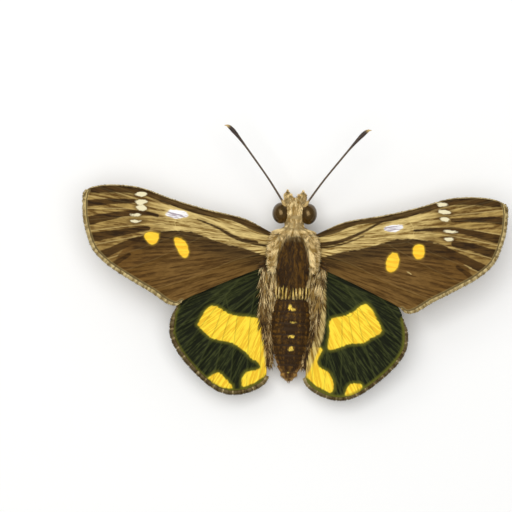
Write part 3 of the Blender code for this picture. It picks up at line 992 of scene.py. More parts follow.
def near_line(plan, line, start_half=0.0, end_half=0.0):
    """How far outside a line of changing half width each place is. Inside it's below zero."""
    curve = smooth_curve(line, np.linspace(0.0, 1.0, 6 * len(line)))
    halves = np.linspace(start_half, end_half, len(curve))
    nearest = np.full(len(plan), np.inf)
    for start, end, half, next_half in zip(curve, curve[1:], halves, halves[1:]):
        way = end - start
        share = np.clip((plan - start) @ way / (way @ way + 1e-12), 0.0, 1.0)
        gap = np.linalg.norm(plan - start - share[:, None] * way, axis=1) - half - (next_half - half) * share
        nearest = np.minimum(nearest, gap)
    return nearest


def near_patch(plan, outline):
    """How far outside a smooth closed outline each place is."""
    outline = (*outline, outline[0])
    curve = smooth_curve(outline, np.linspace(0.0, 1.0, 8 * (len(outline) - 1)))
    inside = np.zeros(len(plan), bool)
    for start, end in zip(curve, curve[1:]):
        if start[1] != end[1]:
            crosses = (start[1] > plan[:, 1]) != (end[1] > plan[:, 1])
            meets = start[0] + (plan[:, 1] - start[1]) * (end[0] - start[0]) / (end[1] - start[1])
            inside ^= crosses & (plan[:, 0] < meets)
    gap = near_line(plan, outline)
    return np.where(inside, -gap, gap)


def near_oval(plan, centre, halves, turn=0.0):
    """About how far outside a turned oval each place is."""
    cos, sin = math.cos(math.radians(turn)), math.sin(math.radians(turn))
    away = plan - np.asarray(centre)
    wide = (away[:, 0] * cos + away[:, 1] * sin) / halves[0]
    deep = (away[:, 1] * cos - away[:, 0] * sin) / halves[1]
    return (np.hypot(wide, deep) - 1.0) * min(halves)


# Each mark is placed on the left and on the right wing as the specimen has it: patches by their outlines,
# streaks by their lines and half widths at both ends, ovals by centre, half sizes and turn.
COSTAL_BAND = (
    (2, 0.2), (9, -1.8), (13.6, -3.8), (18.1, -4.5), (22.6, -5.3), (27.1, -6.55), (31.6, -8.1),
    (33.9, -8.8), (36.2, -9.25), (40.7, -9.3), (44.8, -9.1), (47.6, -9.4), (48.5, -14), (25, -14), (0, -6),
)
CELL_STREAKS = {
    "left": (
        (((22, -3.9), (19.2, -2.9), (17, -2), (14.7, -0.7), (12.4, 0.25), (8.5, 1)), 0.08, 0.45),
        (((15.8, -1.5), (12.5, 0), (9, 1.1), (5, 1.6)), 0.1, 0.3),
    ),
    "right": (
        (((23.5, -6), (20, -4.9), (17, -3.2), (13.6, -1.4), (10.2, 0), (5, 1.2)), 0.05, 0.5),
        (((15.8, -1.5), (12.5, 0), (9, 1.1), (5, 1.6)), 0.05, 0.2),
    ),
}
OUTER_RAYS = {
    "left": (
        (((47, -6.6), (43, -7.1), (40, -7.3), (36.3, -7.5)), 0.75, 0.4),
        (((46.9, -2.6), (44, -3.3), (40.7, -4.1), (38, -4.6), (34, -4.9), (31, -4.4)), 1, 0.3),
        (((46.6, 1.3), (44.1, 0.8), (40.7, 0.1), (36.2, -0.9), (33, -1.4)), 1.05, 0.45),
        (((44.6, 5.6), (41, 3.9), (37.5, 2.1), (35, 1)), 1, 0.6),
        (((42.2, 8.2), (40, 6.6), (37, 4.6)), 0.7, 0.3),
    ),
    "right": (
        (((47.3, -5.9), (43, -6.05), (40, -6), (35.5, -5.7)), 0.75, 0.35),
        (((46.9, -1.6), (43, -2.3), (38.5, -3.2), (33.9, -3.6), (27.1, -3.1)), 0.95, 0.2),
        (((46.6, 2), (44.1, 1.3), (40, 0.2), (36.2, -0.4)), 1, 0.7),
        (((44.6, 5.9), (41, 4.2), (37.5, 2.6), (35, 1.6)), 1, 0.8),
        (((42.2, 8.4), (40, 6.8), (37, 4.8)), 0.7, 0.3),
    ),
}
BACK_FIELD = (
    (3, 4.3), (6, 3.9), (10, 2.6), (13.6, 1.8), (15.8, 1.35), (18.1, 0.7), (20.3, -0.1), (22.6, -0.8),
    (24.9, -1.1), (27.1, -1.2), (29.4, -1), (31.6, -0.6), (34.2, 0.2), (37, 2), (39.6, 5.2), (40.2, 8.6),
    (36, 13), (28, 18), (14, 12), (3, 9),
)
PALE_STREAKS = {
    "left": (
        (((26, -6.2), (22.6, -5), (18, -3.4), (13.6, -1.3)), 0.08, 0.3),
        (((18, 0.1), (16.2, 0.3), (14.8, 0.65)), 0.04, 0.12),
        (((9.6, 1.5), (8.2, 1.65), (7, 1.75)), 0.05, 0.16),
    ),
    "right": (
        (((24.5, -5.2), (19.5, -3.6), (14, -1.9)), 0.08, 0.25), (((25.5, 6.1), (26.7, 6.8)), 0.04, 0.12),
        (((38.4, 4.2), (40.2, 4.9)), 0.05, 0.12), (((13, 1.7), (10.5, 1.75), (8, 2.2)), 0.06, 0.2),
    ),
}
CREAM_SPOTS = {
    "left": (
        ((34.7, -9.1), (1.2, 0.5), 10), ((34.8, -7.35), (1.25, 0.6), 5), ((34.6, -6), (1.15, 0.6), -6),
        ((35.8, -4.45), (1.05, 0.32), 3), ((35.7, -2.95), (0.95, 0.28), 3),
    ),
    "right": (
        ((33, -9.25), (1.15, 0.5), 0), ((33.7, -7.5), (1.3, 0.5), 6), ((33.7, -5.85), (1.05, 0.45), 8),
        ((35, -3.15), (1.15, 0.36), 0), ((34.9, -1.45), (1, 0.34), 0),
    ),
}
PEARL_WINDOW = {"left": ((26.7, -4.9), (2.5, 0.95), 0), "right": ((22.4, -3.45), (2.1, 0.8), -10)}
SPOTS_DRAWN_IN = 0.22
YELLOW_SPOTS = {
    "left": (
        ((30.2, -0.5), (32.2, -0.9), (33.6, -0.5), (33.9, 0.5), (32.9, 2), (31.8, 2.4), (30.6, 1.5)),
        (
            (25.4, 0.3), (27, 0.2), (27.1, 1.6), (26.2, 3.6), (25.4, 4.7), (24.4, 5.1), (23.6, 4.5),
            (23.5, 3.1), (24.2, 1.3),
        ),
    ),
    "right": (
        (
            (27.1, 0.1), (28.2, -0.2), (29.3, 0.2), (29.7, 1.6), (29.3, 3.1), (27.9, 3.5), (26.9, 2.6),
            (26.7, 1.2),
        ),
        (
            (22.3, 1.9), (23.6, 2.2), (24.1, 3.8), (23.6, 5.8), (22.2, 6.7), (21, 6.2), (20.8, 4.4),
            (21.3, 2.8),
        ),
    ),
}


def wing(name, side, grid, shape, finishes, fields_of):
    """A wing as an even grid from hinge to tip, its underside in the second finish."""
    bm = bmesh.new()
    bmesh.ops.create_grid(bm, x_segments=grid[0], y_segments=grid[1], size=1.0)
    along, across = ((np.array([vert.co[:2] for vert in bm.verts]) + 1) / 2).T
    plan, height = shape(side, along, across)
    for vert, point in zip(bm.verts, metres(mirrored(columns(*plan.T, height), side))):
        vert.co = point
    bm.normal_update()
    bm.faces.ensure_lookup_table()
    if bm.faces[0].normal.z < 0:
        bmesh.ops.reverse_faces(bm, faces=bm.faces)
    sheet = shown(f"{name}_{side}_membrane", bm, finishes[0].material)
    sheet.data.materials.append(finishes[1].material)
    thickness = sheet.modifiers.new("thickness", "SOLIDIFY")
    thickness.thickness = WING_THICKNESS * MM
    thickness.offset = -1.0
    thickness.material_offset = 1
    write_fields(sheet.data, **fields_of(side, plan, along, across))
    handed(sheet, f"{name}_{side}")


def least(shapes):
    """How far each place is outside the nearest of these shapes."""
    return np.min(list(shapes), axis=0)


def relief(plan, veins, taper, edge):
    """The rise of a vein's ridge or the pleat between two, less at the wing's edge."""
    gap = least(near_line(plan, vein) for vein in veins)
    crest = VEIN_HEIGHT * (1.0 - VEIN_TAPER * soft_step(plan[:, 0], *taper))
    ridge = crest * np.exp(-((gap / VEIN_WIDTH) ** 2))
    pleat = PLEAT_DEPTH * soft_step(gap, 0.0, PLEAT_WIDTH)
    return (ridge - pleat) * (EDGE_RELIEF + (1 - EDGE_RELIEF) * edge) + WING_THICKNESS / 2


def fanned(plan, centre):
    """How far round and how far out from where a wing's lines would meet."""
    away = plan - np.asarray(centre)
    return columns(np.arctan2(away[:, 1], away[:, 0]) * FAN_REACH, np.hypot(*away.T), 0.0)


def forewing_shape(side, along, across):
    """Plan and height of the upper membrane, veins and pleats included."""
    plan = forewing_plan(along, across)
    front, back = FOREWING_EDGES
    edge = soft_step(across, *front) * (1.0 - soft_step(across, *back))
    arch = FOREWING_ARCH * 4 * across * (1 - across)
    return plan, wing_height(plan) + arch + relief(plan, FOREWING_VEINS, FOREWING_VEIN_THINNING, edge)


STRAWS = tuple(map(paint, ("#6A4C18", "#B0924E", "#DDC480")))
BARKS = tuple(map(paint, ("#261602", "#482F0B", "#6C4C1E")))
UNDER_STRAWS = tuple(map(paint, ("#9C8149", "#BFA469", "#DDC891")))
UNDER_BARKS = tuple(map(paint, ("#4A3417", "#6E5429", "#967A48")))
CREAM, PEARL, PEARL_SHADE, EGG_DEEP = map(paint, ("#E4DAB4", "#F4F3F2", "#A79BA2", "#F0B62C"))
EGG_YELLOW, EGG_HALO, APEX_OLIVE = map(paint, ("#F8D23C", "#A88A2C", "#8A7A48"))
# Noise along and across the lie of the scales: outer lines, inner lines, dashes, fray and grain.
LINE_NOISES = ((1.7, 0.1, 2.0), (0.8, 0.1, 2.0), (2.6, 0.45, 2.0), (1.3, 0.5, 3.0), (7.5, 5.0, 1.0))


def scale_lines():
    """The lines that rows of scales make along the veins, their fray and relief."""
    outputs = {"Lines": "Float", "Fray": "Float", "Relief": "Float"}
    group, given, result = node_group("scale_lines", {"Lie": "Vector"}, outputs)
    found = []
    for across, along, detail in LINE_NOISES:
        lie = group.node("Mapping", {"Vector": given["Lie"], "Scale": (across, along, 1.0)})["Vector"]
        found.append(group.noise(lie, 1.0, detail, 0.6))
    outer_lines, inner_lines, dashes, fray, grain = found
    reach = group.node("SeparateXYZ", {"Vector": given["Lie"]})["Y"]
    long_lines = group.mix(group.spread(reach, 14.0, 26.0), inner_lines, outer_lines)
    dashes = group.spread(dashes, 0.44, 0.6, 0.0, 0.35)
    lines = group.math("ADD", group.spread(long_lines, 0.42, 0.56, 0.0, 0.65), dashes)
    rise = group.math("ADD", group.times(lines, 0.6), group.times(grain, 0.5))
    group.feed(result, {"Lines": lines, "Fray": group.math("SUBTRACT", fray, 0.5), "Relief": rise})
    return group.tree


def mark_edge():
    """The distance to a mark as its mask, its edge frayed by the lines of scales."""
    inputs = {"Distance": "Float", "Fray": "Float", "Fraying": "Float", "Softness": "Float"}
    group, given, result = node_group("mark_edge", inputs, {"Mask": "Float"})
    moved = group.math("MULTIPLY_ADD", given["Fray"], given["Fraying"], given["Distance"])
    inner = group.times(given["Softness"], -1.0)
    group.feed(result, {"Mask": group.spread(moved, inner, given["Softness"], 1.0, 0.0)})
    return group.tree


line_group = scale_lines()
edge_group = mark_edge()


class WingScales(Finish):
    """The flat scales of a wing: colours laid one over the other, with frayed marks."""

    def __init__(self, name, colour, roughness):
        super().__init__(name, colour, roughness, 0.09, 0.02)
        self.feed(self.shader, {"Sheen Roughness": 0.4})
        made = self.node("Group", {"Lie": self.field("lie", "Vector")}, node_tree=line_group)
        self.lines, self.fray, self.relief = made["Lines"], made["Fray"], made["Relief"]

    def lined(self, deep, light):
        return self.mix(self.lines, deep, light)

    def mark(self, name, fraying, softness, grown=0.0):
        """The mask of a mark, grown by this many millimetres."""
        feeds = {"Distance": self.math("SUBTRACT", self.field(name), grown), "Fray": self.fray}
        feeds.update({"Fraying": fraying, "Softness": softness})
        return self.node("Group", feeds, node_tree=edge_group)["Mask"]

    def lay(self, mask, colour, strength=1.0):
        """A colour over what lies there, where the mask is."""
        self.ground = self.mix(self.times(mask, strength), self.ground, colour)

    def close(self, bump_strength):
        """The ground and the relief of the scales, taken to the shader."""
        self.show(self.ground)
        height = self.math("MULTIPLY_ADD", self.cells(self.place(), 7000.0), 0.35, self.relief)
        self.bump(height, bump_strength, 0.07)


def forewing_finish(name, straws, barks, strength):
    """Straw ground, umber marks, pearl, cream and yellow spots."""
    scales = WingScales(name, straws[1], 0.62)
    lined, mark, lay, spread = scales.lined, scales.mark, scales.lay, scales.spread
    reach, ahead, rim = scales.field("reach"), scales.field("ahead"), scales.field("rim")
    scales.ground = scales.mix(0.15, lined(straws[0], straws[2]), straws[1])
    outer = lined(scales.mix(0.4, barks[1], barks[2]), scales.mix(0.3, straws[1], barks[2]))
    lay(spread(reach, 26.0, 34.0), outer, 0.85)
    lay(scales.times(spread(ahead, -1.0, -5.0), spread(reach, 32.0, 38.0)), barks[2], 0.5)
    lay(scales.times(spread(ahead, 8.0, 9.6), spread(reach, 34.0, 37.0)), lined(barks[1], APEX_OLIVE), 0.7)
    back = mark("back_field", 1.1, 0.22)
    back_deep = spread(scales.field("back_height"), 5.5, 1.0)
    lay(back, scales.mix(back_deep, lined(barks[1], barks[2]), lined(barks[0], barks[1])), strength)
    lay(mark("pale_marks", 0.35, 0.12), straws[2], 0.75)
    dark = mark("dark_marks", 0.4, 0.16, 0.06)
    lay(dark, lined(barks[0], barks[1]), strength)
    veins = spread(scales.field("vein_gap"), 0.04, 0.2, 0.35, 0.0)
    lay(scales.times(veins, spread(scales.math("MAXIMUM", back, dark), 0.0, 1.0, 1.0, 0.12)), straws[2])
    lay(mark("yellow_spots", 0.5, 0.3, 0.2), EGG_HALO, 0.6)
    lay(mark("yellow_spots", 0.5, 0.14), lined(EGG_DEEP, EGG_YELLOW))
    lay(mark("cream_spots", 0.6, 0.4, 0.3), barks[1], 0.7)
    lay(mark("cream_spots", 1.0, 0.12), CREAM)
    lay(mark("pearl_window", 0.6, 0.2, 0.2), straws[2], 0.6)
    lay(mark("pearl_window", 0.7, 0.1), scales.mix(spread(scales.lines, 0.1, 0.7), PEARL_SHADE, PEARL))
    lay(spread(rim, 0.75, 0.2, 0.0, 0.8), straws[2])
    lay(scales.times(spread(rim, 0.1, 0.25), spread(rim, 0.65, 0.4)), barks[0], 0.75)
    scales.close(0.55)
    return scales


def forewing_fields(side, plan, along, across):
    """The distances to a forewing's marks, and how its scales lie."""
    streaks = [near_line(plan, *streak) for streak in CELL_STREAKS[side] + OUTER_RAYS[side]]
    spots = least(near_patch(plan, spot) for spot in YELLOW_SPOTS[side])
    return {
        "dark_marks": least([near_patch(plan, COSTAL_BAND), *streaks]),
        "back_field": near_patch(plan, BACK_FIELD),
        "back_height": near_line(plan, BACK_FIELD[:13]),
        "pale_marks": least(near_line(plan, *streak) for streak in PALE_STREAKS[side]),
        "cream_spots": least(near_oval(plan, *spot) for spot in CREAM_SPOTS[side]),
        "pearl_window": near_oval(plan, *PEARL_WINDOW[side]),
        "yellow_spots": SPOTS_DRAWN_IN + spots,
        "rim": near_line(plan, FOREWING_RIM),
        "vein_gap": least(near_line(plan, vein) for vein in FOREWING_VEINS),
        "reach": np.abs(plan[:, 0]),
        "ahead": -plan[:, 1],
        "lie": fanned(plan, FOREWING_FAN),
    }


forewing_finishes = (
    forewing_finish("forewing_scales_upper", STRAWS, BARKS, 0.96),
    forewing_finish("forewing_scales_under", UNDER_STRAWS, UNDER_BARKS, 0.8),
)
for side in SIDES:
    wing("forewing", side, FOREWING_GRID, forewing_shape, forewing_finishes, forewing_fields)


# The fringe is three overlapping rows of long scales, dark across their feet; finer ones edge the costa.
# Each row is told by how far it is set in from the edge, its length and its rise off the wing.
FRINGE_ROWS = ((0.0, 0.7, 0.1), (0.12, 0.66, 0.02), (0.25, 0.42, 0.16))
COSTA_ROWS = ((0.08, 0.36, 0.18), (0.1, 0.3, 0.06))
FRINGE_SIZES = (0.2, 3.0)
FRINGE_TAPER = 0.1
FRINGE_CHECKS = 150.0
FRINGE_TEETH = 0.3
FRINGE_FALL = -0.08
FRINGE_BEND = 0.2
VEIN_END_REACH = (0.35, 0.8)
VEIN_END_DARK = 0.7
CHECK_DARK = 0.3
CHECK_EDGES = (0.2, 0.8)
DARK_SCATTER = 0.12
COSTA_DARK = 0.7
COSTA_PALE_SHARE = 0.88
HAIR_SIZES = (0.15, 9.0)
HAIR_BEND = 0.9
HAIR_RISE = 0.45
WING_PATCH_SCALE = (1.0, 0.5)
WING_PATCH_START = (0.0, 0.4)
FOREWING_LOCKS = 900
WING_BASE_LOCKS = 700
MARGIN_DARK, MARGIN_SOFT = map(paint, ("#3A280C", "#5E5030"))
FRINGE_DEEP, FRINGE_LIGHT = map(paint, ("#8E7744", "#D9C58E"))
fringe = Finish("fringe_scales", STRAWS[2], 0.6, 0.15)
fringe_tone = fringe.field("tone")
fringe_pale = fringe.mix(fringe_tone, FRINGE_DEEP, FRINGE_LIGHT)
fringe_dark = fringe.mix(fringe_tone, MARGIN_DARK, MARGIN_SOFT)
fringe_ground = fringe.mix(fringe.field("dark"), fringe_pale, fringe_dark)
fringe.show(fringe.mix(fringe.spread(fringe.field("tip"), 0.05, 0.3, 0.75, 0.0), fringe_ground, MARGIN_DARK))


def wing_locks(name, side, plan, heights, ways, rise, sizes, finish, fields, bend):
    """A coat piece of blades that lie on a wing or stand out from its edge."""
    roots = mirrored(columns(*plan.T, heights), side)
    lies = mirrored(columns(*ways.T, rise), side)
    normals = np.tile((0.0, 0.0, 1.0), (len(plan), 1))
    patches = plan / UNWRAP_LENGTH * WING_PATCH_SCALE + WING_PATCH_START
    locks(name, roots, normals, lies, sizes, patches, finish, fields, bend)


def edge_fringe(name, side, edge, height_of, darkness, count, rows=FRINGE_ROWS):
    """Rows of fringe along an edge, a function from shares to places and outward ways."""
    found = []
    for set_in, length, rise in rows:
        shares = (np.arange(count) + dice.random(count)) / count
        plan, outward = edge(shares)
        plan = plan - outward * set_in
        lengths = (length + set_in) * (0.35 + 0.65 * soft_step(shares, 0.0, FRINGE_TAPER))
        darks = darkness(shares, plan)
        found.append((plan, outward, lengths * (0.9 + FRINGE_TEETH * darks), np.full(count, rise), darks))
    plan, outward, lengths, rises, darks = map(np.concatenate, zip(*found))
    heights, sizes = height_of(plan) + rises, (lengths, *FRINGE_SIZES)
    marks = {"dark": darks}
    wing_locks(name, side, plan, heights, outward, FRINGE_FALL, sizes, fringe, marks, FRINGE_BEND)


def forewing_outer_edge(shares):
    """The outer margin, from the tornus round the tip."""
    run = heading(FOREWING_RIM, shares, 0.004)
    return smooth_curve(FOREWING_RIM, shares), unit(columns(-run[:, 1], run[:, 0]))


def forewing_front_edge(shares):
    """The costa, with the scales lying out towards the tip."""
    depths = np.full(len(shares), EDGE_DEPTH)
    plan, outward = drawn_in(FOREWING_COSTA, 0.1 + 0.88 * shares, FOREWING_MIDDLE, depths)
    along = columns(-outward[:, 1], outward[:, 0])
    return plan, unit(outward * 0.4 + along * np.sign(along[:, :1]))


def vein_darks(shares, plan):
    """Darkest where a vein meets the margin."""
    gaps = np.min([np.hypot(*(plan - vein[-1]).T) for vein in FOREWING_VEINS], axis=0)
    checks = CHECK_DARK * soft_step(np.sin(shares * FRINGE_CHECKS), *CHECK_EDGES)
    at_veins = VEIN_END_DARK * (1 - soft_step(gaps, *VEIN_END_REACH))
    return np.maximum(at_veins, checks) + DARK_SCATTER * dice.random(len(plan))


def costa_darks(shares, plan):
    """Pale over dark, by turns."""
    return COSTA_DARK * (dice.random(len(plan)) > COSTA_PALE_SHARE)


def wing_hair(name, side, plan, heights, ways, lengths, darks, amber):
    """Long soft hairs lying on a wing's root."""
    name, sizes, marks = f"hair_{name}_{side}", (lengths, *HAIR_SIZES), {"marks": columns(darks, 0.0, amber)}
    wing_locks(name, side, plan, heights, ways, 0.0, sizes, fur_finish, marks, HAIR_BEND)


for side in SIDES:
    for name, edge, darks, rows in (
        ("fringe_forewing_", forewing_outer_edge, vein_darks, FRINGE_ROWS),
        ("costa_scales_", forewing_front_edge, costa_darks, COSTA_ROWS),
    ):
        edge_fringe(name + side, side, edge, wing_height, darks, FOREWING_LOCKS, rows)

for side in SIDES:
    along = 0.01 + 0.05 * dice.random(WING_BASE_LOCKS)
    across = 0.97 - 0.6 * dice.random(WING_BASE_LOCKS) ** 1.4
    plan = forewing_plan(along, across)
    ways = unit(plan - FOREWING_FAN) + dice.normal(0.0, 0.08, (WING_BASE_LOCKS, 2))
    darks = np.minimum(0.9 * soft_step(across, 0.55, 0.72) + 0.3 * dice.random(WING_BASE_LOCKS), 1.0)
    lengths = dice.uniform(1.0, 2.4, WING_BASE_LOCKS)
    wing_hair("forewing_base", side, plan, wing_height(plan) + HAIR_RISE, ways, lengths, darks, 0.0)

# --- Hindwings ---
# The hindwings are softer rounded fans that hang behind and below the forewings, hinged just behind them.
# Their scales are greenish black with egg-yellow windows, and the right one is drawn back a little further.
HINDWING_VEIN_THINNING = (8.0, 28.0)
HINDWING_EDGES = ((0.0, 0.02), (0.97, 1.0))
HINDWING_COSTA = ((3.2, 5.4), (12, 6.4), (20, 9.4), (24.9, 12.8), (26.5, 15.6))
HINDWING_INNER = ((3.2, 8.6), (4.2, 16), (4.6, 24), (4.5, 29), (4.5, 31.6))
HINDWING_MARGIN = (
    (26.5, 15.6), (27.3, 18.9), (27.2, 23), (24.7, 27.4), (20.4, 31.9), (16.4, 34.8), (12.6, 35.7),
    (8.6, 34.9), (5.6, 33.2), (4.5, 31.6),
)
HINDWING_HINGE = (3.2, 7.0)
HINDWING_SWEEPS = {"left": 0.0, "right": 3.2}
HINDWING_FAN = (0.5, 5.0)
HINDWING_MIDDLE = (15.0, 20.0)
HINDWING_BELOW = 1.25
HINDWING_DROOP = 0.1
HINDWING_GRID = (150, 140)
HINDWING_VEINS = (
    ((3.4, 5.9), (12, 7.1), (20, 11.2), (26.6, 18)), ((3.4, 6.3), (12, 9.3), (19, 14.4), (26.8, 22.2)),
    ((12, 9.3), (17.5, 16.4), (24.8, 26.4)), ((15, 13.4), (17, 20.4), (21.2, 30.4)),
    ((13.6, 16.4), (15.4, 23), (17.4, 33.4)), ((12.2, 17.4), (12.8, 24.4), (13.4, 34.8)),
    ((3.4, 7.2), (8.4, 12.4), (13.6, 16.4), (15, 13.4)), ((8.4, 12.4), (9.4, 20.4), (9.6, 34.4)),
    ((3.5, 8), (6.4, 18), (6.6, 33.4)),
)


def swept_back(plan, side):
    """A hindwing's places turned back round its hinge, as far as that side's is."""
    turn = math.radians(HINDWING_SWEEPS[side])
    away = plan - np.asarray(HINDWING_HINGE)
    cos, sin = math.cos(turn), math.sin(turn)
    return columns(away @ (cos, -sin), away @ (sin, cos)) + HINDWING_HINGE


def hindwing_margin(shares):
    """The membrane's margin, inside the fringe, and its outward ways."""
    return drawn_in(HINDWING_MARGIN, shares, HINDWING_MIDDLE, np.full(len(shares), CILIA_DEPTH))


def hindwing_plan(along, across):
    """Plan of the membrane, from hinge to margin and from front to inner edge."""
    margin, _ = hindwing_margin(across)
    along, across = along[:, None], across[:, None]
    plan = 0.0
    for outline, weight in ((HINDWING_COSTA, 1 - across), (HINDWING_INNER, across)):
        root, end = np.asarray(outline[0]), np.asarray(outline[-1])
        bow = smooth_curve(outline, along[:, 0]) - root - (end - root) * along
        plan = plan + weight * (root * (1 - along) + bow)
    return plan + margin * along


def hindwing_height(plan):
    """Height just below the forewing, drooping towards the back."""
    return wing_height(plan) - HINDWING_BELOW - HINDWING_DROOP * (plan[:, 1] - HINDWING_INNER[0][1])


def hindwing_shape(side, along, across):
    """Plan and height of the upper membrane, veins and pleats included."""
    plan = hindwing_plan(along, across)
    front, outer = HINDWING_EDGES
    edge = soft_step(across, *front) * (1.0 - soft_step(along, *outer))
    height = hindwing_height(plan) + relief(plan, HINDWING_VEINS, HINDWING_VEIN_THINNING, edge)
    return swept_back(plan, side), height


SUN_WINDOWS = {
    "left": (
        (
            (21.2, 19.9), (19.9, 17.4), (18.8, 16), (17.4, 15.6), (15.8, 16.3), (13.6, 17.4), (8.6, 17.9),
            (6.2, 18.2), (3, 18.6), (3, 31.2), (5, 31.4), (6.3, 31.8), (8.1, 32.9), (10.2, 33.8),
            (10.6, 33), (10.3, 31.2), (9.5, 30.3), (7.6, 29.9), (6.5, 29.2), (7.4, 27.9), (8.6, 27.3),
            (10.2, 25.8), (11.8, 24.6), (13.6, 23.7), (17.2, 23.1), (19.4, 21.7),
        ),
        ((18.5, 32.1), (16.3, 30.7), (14.9, 31.6), (12.7, 34.1), (14.9, 34.1), (17.2, 33.2)),
    ),
    "right": (
        (
            (20.6, 20.4), (20.6, 19.4), (19.4, 17.2), (18.1, 14.9), (16.5, 14), (14, 15.8), (12.4, 16.7),
            (9, 17.9), (8.9, 21), (9, 24.6), (13.6, 23.1), (16.5, 22.8), (18.5, 21.5),
        ),
        (
            (3, 24), (7.2, 24.4), (6.8, 26.2), (6.4, 27.4), (6.9, 28.7), (8.6, 29.6), (9.5, 30.5),
            (10.2, 32.3), (10.2, 33.9), (9.5, 34.4), (6.8, 33.2), (4.2, 31.4), (3, 30.6),
        ),
        (
            (12.9, 35), (13.3, 33.2), (14.2, 32.3), (15.4, 32.1), (16.5, 32.3), (16.7, 33.2), (16, 34.1),
            (14.7, 34.8),
        ),
    ),
}
INNER_STRIP = {
    "left": (
        (2, 3), (6.4, 4.4), (6.8, 10), (6.9, 15), (6.4, 20), (5.9, 26), (4.8, 30.4), (3.4, 30.6), (2, 20),
    ),
    "right": (
        (2, 3), (6.6, 5.6), (7.4, 10.2), (7.8, 14.7), (7.7, 20), (6.6, 24.4), (4.6, 29.6), (3.4, 30.6),
        (2, 20),
    ),
}
# Pale nicks in the right wing's margin. The left wing has none, so its one lies far off the wing.
MARGIN_NICKS = {
    "left": (((40, 40), (41, 40)),),
    "right": (
        ((26.4, 19), (26.5, 20.1)), ((26.5, 20.6), (26.5, 21.2)), ((26.4, 21.7), (26.2, 22.4)),
        ((25.9, 23.3), (25.7, 23.9)),
    ),
}
NICK_HALF = 0.16
MOSSES = tuple(map(paint, ("#101305", "#23280F", "#474C26")))
SUNS = tuple(map(paint, ("#E8B92C", "#FBDC3F")))
UNDER_MOSSES = tuple(map(paint, ("#2E3120", "#4E5236", "#77784F")))
UNDER_SUNS = tuple(map(paint, ("#D9A63A", "#F0CE58")))
OLIVE_EDGE = paint("#6B6A20")


def hindwing_finish(name, mosses, suns, strength):
    """Greenish black ground with egg-yellow windows and an olive rim."""
    scales = WingScales(name, mosses[1], 0.66)
    lay, mark, spread, vein_gap = scales.lay, scales.mark, scales.spread, scales.field("vein_gap")
    scales.ground = scales.lined(mosses[0], mosses[1])
    lay(spread(scales.lines, 0.55, 0.95, 0.0, 0.4), mosses[2])
    lay(spread(vein_gap, 0.04, 0.3, 0.35, 0.0), mosses[2])
    lay(mark("yellow_windows", 0.7, 0.5, 0.5), OLIVE_EDGE, 0.65)
    yellow = scales.times(mark("yellow_windows", 0.8, 0.18), strength)
    lay(yellow, scales.mix(spread(scales.lines, 0.2, 0.8), suns[0], suns[1]))
    lay(scales.times(yellow, spread(vein_gap, 0.03, 0.2, 0.3, 0.0)), mosses[1])
    lay(mark("inner_strip", 0.9, 0.35), scales.lined(STRAWS[0], STRAWS[2]), 0.85)
    lay(mark("margin_nicks", 0.2, 0.1), STRAWS[2], 0.8)
    lay(spread(scales.field("rim"), 0.9, 0.1, 0.0, 0.7), OLIVE_EDGE)
    scales.close(0.5)
    return scales


def hindwing_fields(side, plan, along, across):
    """The distances to a hindwing's marks, and how its scales lie."""
    at_rest = hindwing_plan(along, across)
    rim = hindwing_plan(np.ones(RIM_STEPS), np.linspace(0.0, 1.0, RIM_STEPS))
    return {
        "yellow_windows": least(near_patch(plan, window) for window in SUN_WINDOWS[side]),
        "inner_strip": near_patch(plan, INNER_STRIP[side]),
        "margin_nicks": least(near_line(plan, nick, NICK_HALF, NICK_HALF) for nick in MARGIN_NICKS[side]),
        "rim": near_line(at_rest, rim),
        "vein_gap": least(near_line(at_rest, vein) for vein in HINDWING_VEINS),
        "lie": fanned(at_rest, HINDWING_FAN),
    }


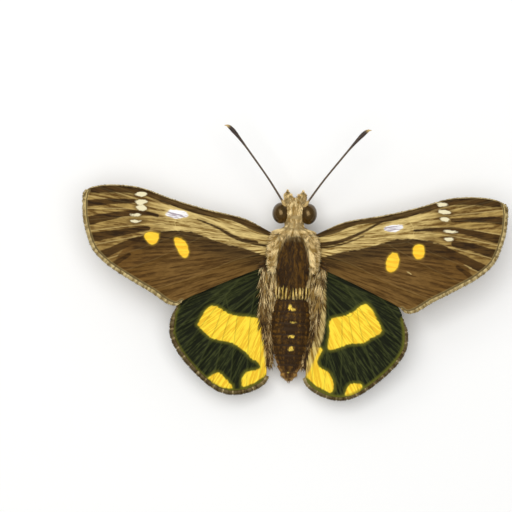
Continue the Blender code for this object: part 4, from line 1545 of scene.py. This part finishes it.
hindwing_finishes = (
    hindwing_finish("hindwing_scales_upper", MOSSES, SUNS, 1.0),
    hindwing_finish("hindwing_scales_under", UNDER_MOSSES, UNDER_SUNS, 0.95),
)
for side in SIDES:
    wing("hindwing", side, HINDWING_GRID, hindwing_shape, hindwing_finishes, hindwing_fields)


# A shorter, darker fringe goes round the hindwing, and long golden and umber hairs lie along its inner edge.
HINDWING_LOCKS = 1300
INNER_HAIRS = 3000
INNER_HAIR_RISE = 0.12
FRINGE_BREAKS = 95.0
BREAK_SHARE = 0.86
BREAK_PALE = 0.5
MARGIN_DARKNESS = 0.92
INNER_CORNER = (0.9, 1.0)
INNER_CORNER_PALE = 0.5


def hindwing_darks(shares, plan):
    """Dark all round, with paler breaks and a golden end at the inner corner."""
    breaks = BREAK_PALE * (np.sin(shares * FRINGE_BREAKS) > BREAK_SHARE)
    return np.clip(MARGIN_DARKNESS - breaks - INNER_CORNER_PALE * soft_step(shares, *INNER_CORNER), 0.0, 1.0)


for side in SIDES:

    def edge(shares):
        plan, outward = hindwing_margin(shares)
        return swept_back(plan, side), outward

    name, slot = "fringe_hindwing_" + side, "hindwing_scales"
    edge_fringe(name, side, edge, hindwing_height, hindwing_darks, HINDWING_LOCKS)
    y = 4.8 + 23.5 * dice.random(INNER_HAIRS) ** 1.45
    reach = 3.9 + 3.0 * dice.random(INNER_HAIRS) * (1 - 0.6 * soft_step(y, 15.0, 27.0))
    plan = swept_back(columns(reach, y), side)
    ways = columns(dice.normal(0.02, 0.12, INNER_HAIRS) - 0.12 * soft_step(y, 14.0, 24.0), 1.0)
    clumps = np.sin(plan[:, 0] * 5.0 + 1.5 * np.sin(y * 0.5)) + dice.normal(0.0, 0.5, INNER_HAIRS)
    darks = 0.95 * (clumps > 0.35 - 0.9 * soft_step(y, 12.0, 19.0))
    lengths = (3.4 - 1.6 * soft_step(y, 16.0, 27.0)) * dice.uniform(0.6, 1.15, INNER_HAIRS)
    heights = hindwing_height(plan) + INNER_HAIR_RISE
    wing_hair("hindwing_inner", side, plan, heights, ways, lengths, darks, 0.5 * soft_step(y, 10.0, 20.0))
